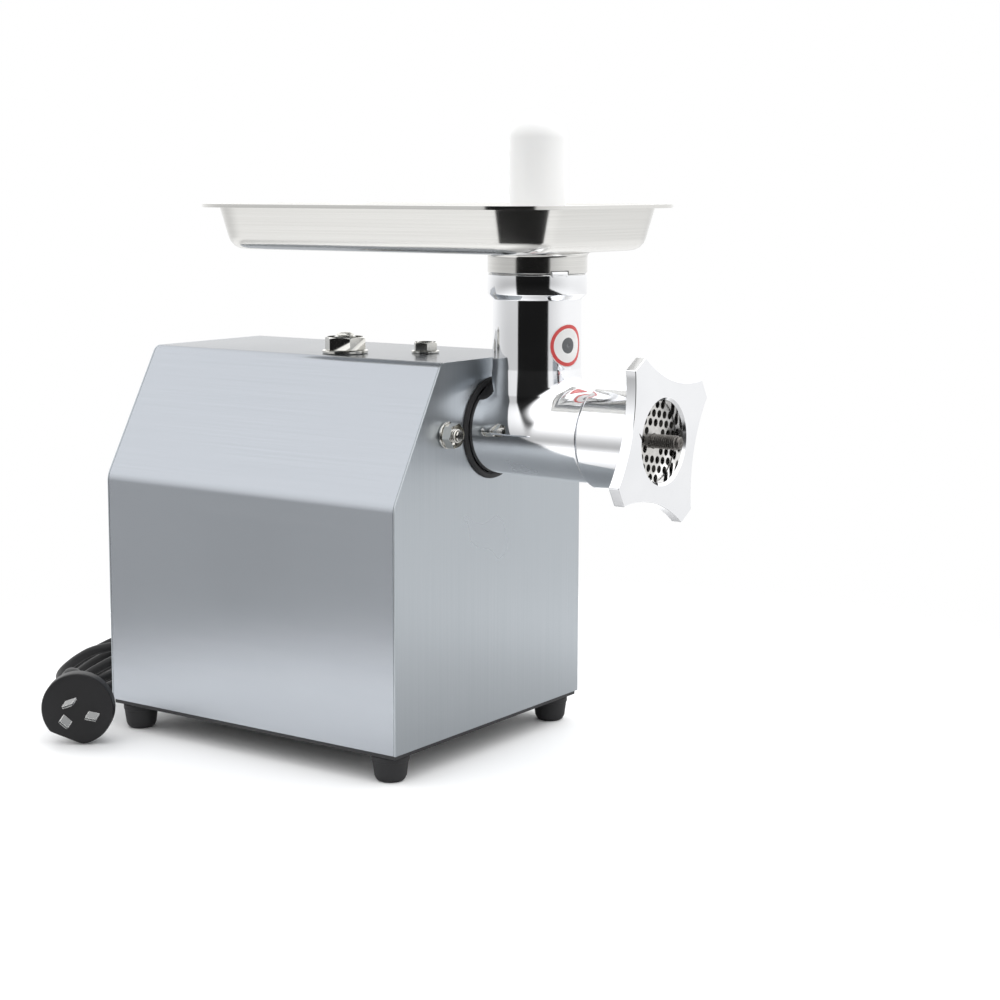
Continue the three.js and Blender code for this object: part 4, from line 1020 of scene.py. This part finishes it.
off_mark = turned("switch_mark_off", [(1.3, -0.3), (2.1, -0.3), (2.1, 0.12), (1.3, 0.12), (1.3, -0.3)], 32,
                  frame_of=PADDLE @ Matrix.Translation((0.0072, 0, 0.00249)) @ Matrix.Rotation(radians(-8.5), 4, "Y"))
fit(off_mark, "rocker", white_ink, "white_nylon")

# ---- feed screw, knife and spindle ----
# The cast feed screw carries a pressed-in steel spindle: square where the knife sits, threaded where it sticks
# out through the cutting plate.
tool_steel = finish_of(
    "oiled_steel", (0.22, 0.21, 0.19), (0.38, 0.365, 0.34), (0.22, 0.4), grain=(90, 90, 90), grain_depth=0.01,
    blotch=70, speck=900, speck_depth=0.004, wear_and_glint=(0.4, 0.45, (0.62, 0.61, 0.58)),
)
from_cad("feed_screw", "auger", polished_casting, "polished_casting", 0.5, 40)
from_cad("feed_screw_washer", "auger_thrust_washer", tool_steel, "tool_steel", 0.2)
from_cad("four_blade_knife", "cross_knife", tool_steel, "tool_steel", 0.25, 40)
dark_steel = finish_of(
    "blackened_steel", (0.085, 0.08, 0.075), (0.16, 0.15, 0.14), (0.28, 0.42), grain=(90, 90, 90), grain_depth=0.01,
    blotch=70, speck=900, speck_depth=0.004, wear_and_glint=(0.3, 0.36, (0.62, 0.61, 0.58)),
)
spindle = turned("threaded_spindle", [
    (0, -148.5), (5, -148.5), (5, -192.5), (4.6, -193), *screw_ridges(5, -193.2, -214.6, 1.6, 0.85), (4.3, -215),
    (3.7, -215.9), (1.4, -216), (1.1, -215.3), (0, -215.1),
], 56, "Y", (0, 0, 241))
square = block("tool", (-5.6, -185.4, 235.4), (5.6, -169.3, 246.6))
modify(square, "BEVEL", width=0.0005, segments=2)
joined(spindle, square)
smooth(spindle)
fit(spindle, "auger", dark_steel, "tool_steel", "auger_spindle")
from_cad("plate_key", "plate_key_pin", tool_steel, "tool_steel", 0)

# ---- stickers ----
# Two printed vinyl stickers: a round one, red-rimmed on white, on the tube, and a red arrow on the barrel.
red_ink = finish_of(
    "red_ink", (0.55, 0.03, 0.03), (0.66, 0.055, 0.05), (0.28, 0.38), metallic=0, grain=(600, 600, 600),
    grain_depth=0.003, blotch=60, coat=0.4,
)
grey_ink = finish_of(
    "grey_ink", (0.06, 0.065, 0.07), (0.10, 0.105, 0.11), (0.3, 0.4), metallic=0, grain=(600, 600, 600),
    grain_depth=0.003, blotch=60, coat=0.4,
)


def wrap_round(piece, radius, middle, centre, upright):
    """Bends a flat sticker, drawn in X and Y, round an upright or a lengthways cylinder."""
    for vertex in piece.data.vertices:
        across, along, out = vertex.co
        turn = middle + across / radius
        reach = radius + 0.00012 + out
        if upright:
            vertex.co = centre + Vector((cos(turn) * reach, sin(turn) * reach, along))
        else:
            vertex.co = centre + Vector((cos(turn) * reach, along, sin(turn) * reach))


sticker = turned("round_sticker", [(0, 0), (2, 0), (4, 0), (5.6, 0), (8, 0), (10, 0), (12, 0), (13.2, 0), (14.6, 0),
                                   (15.2, 0)], 64)
ring_of = [face.center.xy.length * 1000 for face in sticker.data.polygons]
wrap_round(sticker, 0.0316, radians(-103), Vector((0, TUBE_Y, 0.304)), True)
fit(sticker, "head", white_ink, "white_nylon")
sticker.data.materials.append(red_ink)
sticker.data.materials.append(grey_ink)
for face, reach in zip(sticker.data.polygons, ring_of):
    face.material_index = 1 if 11.9 < reach < 14.7 else 2 if reach < 5.5 else 0
modify(sticker, "SOLIDIFY", thickness=0.00008, offset=1)
bpy.ops.object.select_all(action="DESELECT")
bpy.ops.mesh.primitive_circle_add(vertices=3, radius=0.006, fill_type="NGON")
arrow = begin("arrow_sticker")
bpy.ops.object.mode_set(mode="OBJECT")
for vertex, place in zip(arrow.data.vertices, [(-0.0052, -0.1350, 0), (0.0052, -0.1350, 0), (0, -0.1470, 0)]):
    vertex.co = place
bpy.ops.object.mode_set(mode="EDIT")
bpy.ops.mesh.select_all(action="SELECT")
bpy.ops.mesh.quads_convert_to_tris()
bpy.ops.mesh.subdivide(number_cuts=7)
close()
wrap_round(arrow, 0.0333, radians(107), Vector((0, 0, AXIS_Z)), False)
modify(arrow, "SOLIDIFY", thickness=0.00008, offset=0)
fit(arrow, "head", red_ink, "red_plastic")

# ---- gearbox and gears ----
# Grey iron castings, machined only where they meet, with oiled spur gears and shafts in plain steel bearings.
cast_iron = finish_of(
    "cast_iron", (0.10, 0.105, 0.11), (0.19, 0.195, 0.20), (0.5, 0.7), metallic=0.7, grain=(300, 300, 300),
    grain_depth=0.08, blotch=45, speck=900, speck_depth=0.05, wear_and_glint=(0.8, 0.5, (0.42, 0.42, 0.43)),
)
bearing_steel = finish_of(
    "bearing_steel", (0.60, 0.60, 0.61), (0.74, 0.74, 0.75), (0.12, 0.22), grain=(200, 200, 200), grain_depth=0.004,
    blotch=80,
)
for node in ("gearbox_body", "gearbox_cover", "motor_end_bell"):
    from_cad(f"{node}_casting", node, cast_iron, "grey_iron", 0.8, 40)
for node in ("output_shaft", "output_gear", "intermediate_shaft", "intermediate_gear", "motor_shaft"):
    from_cad(f"{node}_turned", node, tool_steel, "tool_steel", 0.15, 34)
for node in ("output_bearing_front", "output_bearing_rear", "motor_bearing_front", "motor_bearing_rear"):
    from_cad(f"{node}_race", node, bearing_steel, "zinc_steel", 0.3)

# ---- motor ----
# A single-phase motor in a painted steel shell on a pressed cradle: stamped cores, lacquered copper windings,
# a moulded fan and a run capacitor.
core_steel = finish_of(
    "stamped_core", (0.15, 0.155, 0.165), (0.33, 0.335, 0.35), (0.35, 0.5), grain=(30, 1600, 30), grain_depth=0.04,
    blotch=50, tone="Grain",
)
copper = finish_of(
    "lacquered_copper", (0.32, 0.10, 0.035), (0.52, 0.19, 0.07), (0.22, 0.36), metallic=0.9,
    grain=(900, 120, 900), grain_depth=0.12, blotch=60, tone="Grain", coat=0.5,
)
for node in ("motor_shell", "motor_cradle"):
    from_cad(f"{node}_painted", node, black_paint, "black_paint", 0.6, 40)
for node in ("stator_core", "rotor_core"):
    from_cad(f"{node}_stampings", node, core_steel, "grey_iron", 0.2)
for node in ("cooling_fan", "run_capacitor"):
    from_cad(f"{node}_moulded", node, moulded_black, "black_plastic", 0.4)
for name, start, end in (("front", 97.6, 86), ("rear", 158.4, 170)):
    middle = (start + end) / 2
    winding = turned(f"winding_{name}", [
        (37, start), (38, middle), (40, end * 0.94 + start * 0.06), (46, end), (51, end * 0.94 + start * 0.06),
        (53, middle), (53, start), (37, start),
    ], 72, "Y", (0, 0, 138))
    fit(winding, "housing", copper, "grey_iron")

# ---- gland, plug and tie ----
# A moulded rubber gland with a ribbed bend sleeve holds the cord in the rear sheet. The round plug is moulded
# on, with three flat plated blades, and a black strap with a pressed lug ties the coil.
cord_rubber = finish_of(
    "cord_sheath", (0.007, 0.007, 0.008), (0.013, 0.013, 0.014), (0.4, 0.52), metallic=0, grain=(160, 160, 160),
    grain_depth=0.02, blotch=30, speck=1300, speck_depth=0.008, specular=0.3,
)
sleeve = []
for rib in range(7):
    y = 223.5 + rib * 3.7
    sleeve += [(8.3 - rib * 0.42, y), (8.3 - rib * 0.42, y + 2.1), (7.3 - rib * 0.4, y + 2.5), (7.3 - rib * 0.4, y + 3.3)]
gland = turned("ribbed_gland", [
    (0, 210), (6.2, 210), (6.6, 210.5), (6.6, 216.3), (10.1, 216.3), (10.5, 216.8), (10.5, 219.6), (9.8, 220.6),
    (8.6, 221.4), (8.3, 222.6), *sleeve, (5.2, 249.6), (4.8, 250), (3.7, 250), (3.7, 247), (0, 247),
], 48, "Y", (30, 0, 60))
fit(gland, "housing", cord_rubber, "rubber", "cord_gland")

PLUG_FRAME = Matrix.Translation((-0.170, 0.199, 0.0272)) @ Matrix.Rotation(radians(-53.13), 4, "Z") @ Matrix.Rotation(
    radians(90), 4, "X"
)
plug_body = turned("moulded_plug", [
    (0, 0), (12, 0), (25.2, 0), (26.4, -0.5), (27, -1.5), (27, -11), (26.6, -11.8), (25.6, -12.2), (24.4, -12.5),
    (24.1, -13.4), (22.2, -18), (20.6, -21.5), (18.6, -24), (15, -25.6), (9, -26.6), (7, -27), (6.4, -28.6),
    (5.4, -31.6), (4.9, -32.4), (3.6, -32.5), (0, -32.5),
], 72)
cut_away(plug_body, block("tool", (-40, -40, -32), (40, -23.4, 1), Matrix.Rotation(radians(-22), 4, "Z")))
for rib in range(-2, 3):
    for side in (-1, 1):
        groove = block("tool", (-1.1, -9, -40), (1.1, 9, -14.6),
                       Matrix.Rotation(radians(68 + 90 * side + rib * 12), 4, "Z") @ Matrix.Translation((0.0262, 0, 0)))
        cut_away(plug_body, groove)
soften(plug_body, 0.0004, 3, 40)
plug_body.data.transform(PLUG_FRAME)
fit(plug_body, "housing", cord_rubber, "rubber", "plug_body")
# Painted highlight: a light colour runs almost unbroken along every edge of the dark blades.
blade_painted_glint = finish_of(
    "blade_plating_painted_glint", (0.055, 0.06, 0.062), (0.12, 0.125, 0.125), (0.2, 0.3), grain=(300, 300, 300), grain_depth=0.004,
    blotch=120, wear_and_glint=(0.9, 0.12, (0.95, 0.945, 0.93)),
)
blade_pieces = []
for name, x, y, turn in (("active", -4.2, 7, 18), ("neutral", -7.4, -7.2, 138), ("earth", 12.6, -3, -12)):
    blade = block(f"plug_blade_{name}", (-4.1, -0.9, 0.3), (4.1, 0.9, 18))
    alone(blade)
    bpy.ops.object.mode_set(mode="EDIT")
    choose(blade, "EDGE", lambda middle, way: abs(way.y) > 0.9 and middle.z > 0.01)
    bpy.ops.mesh.bevel(offset=0.0012, segments=4)
    close()
    modify(blade, "BEVEL", width=0.00015, segments=2, limit_method="ANGLE", angle_limit=radians(50))
    smooth(blade)
    blade.data.transform(PLUG_FRAME @ Matrix.Translation((x / 1000, y / 1000, 0)) @ Matrix.Rotation(
        radians(turn), 4, "Z"))
    blade_pieces.append(fit(blade, "housing", blade_painted_glint, "zinc_steel", f"plug_pin_{name}"))

TIE_TURN = radians(322)
tie_frame = Matrix.Translation(COIL_CENTRE) @ Matrix.Rotation(-COIL_TILT, 4, "X") @ Matrix.Rotation(
    TIE_TURN, 4, "Z") @ Matrix.Translation((0.040, 0, 0))
strap = block("coil_tie", (-8, -4.5, -11.7), (8, 4.5, 11.7))
alone(strap)
bpy.ops.object.mode_set(mode="EDIT")
choose(strap, "EDGE", lambda middle, way: abs(way.y) > 0.9)
bpy.ops.mesh.bevel(offset=0.0036, segments=5)
choose(strap, "FACE", lambda middle, normal: abs(normal.y) > 0.9)
bpy.ops.mesh.delete(type="FACE")
close()
modify(strap, "SOLIDIFY", thickness=0.0011, offset=1)
strap_lug = block("tool", (7.6, -2.6, -4), (11.2, 2.6, 5))
modify(strap_lug, "BEVEL", width=0.0008, segments=3)
joined(strap, strap_lug)
modify(strap, "BEVEL", width=0.0003, segments=2, limit_method="ANGLE", angle_limit=radians(50))
smooth(strap)
strap.data.transform(tie_frame)
fit(strap, "housing", moulded_black, "black_plastic")

for dark_piece in (mains_cord, plug_body, strap, *blade_pieces):
    dark_piece.visible_glossy = False
fit(mains_cord, "housing", cord_rubber, "rubber", "cord_to_coil", "cord_coil", "cord_to_plug")

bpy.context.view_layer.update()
import json
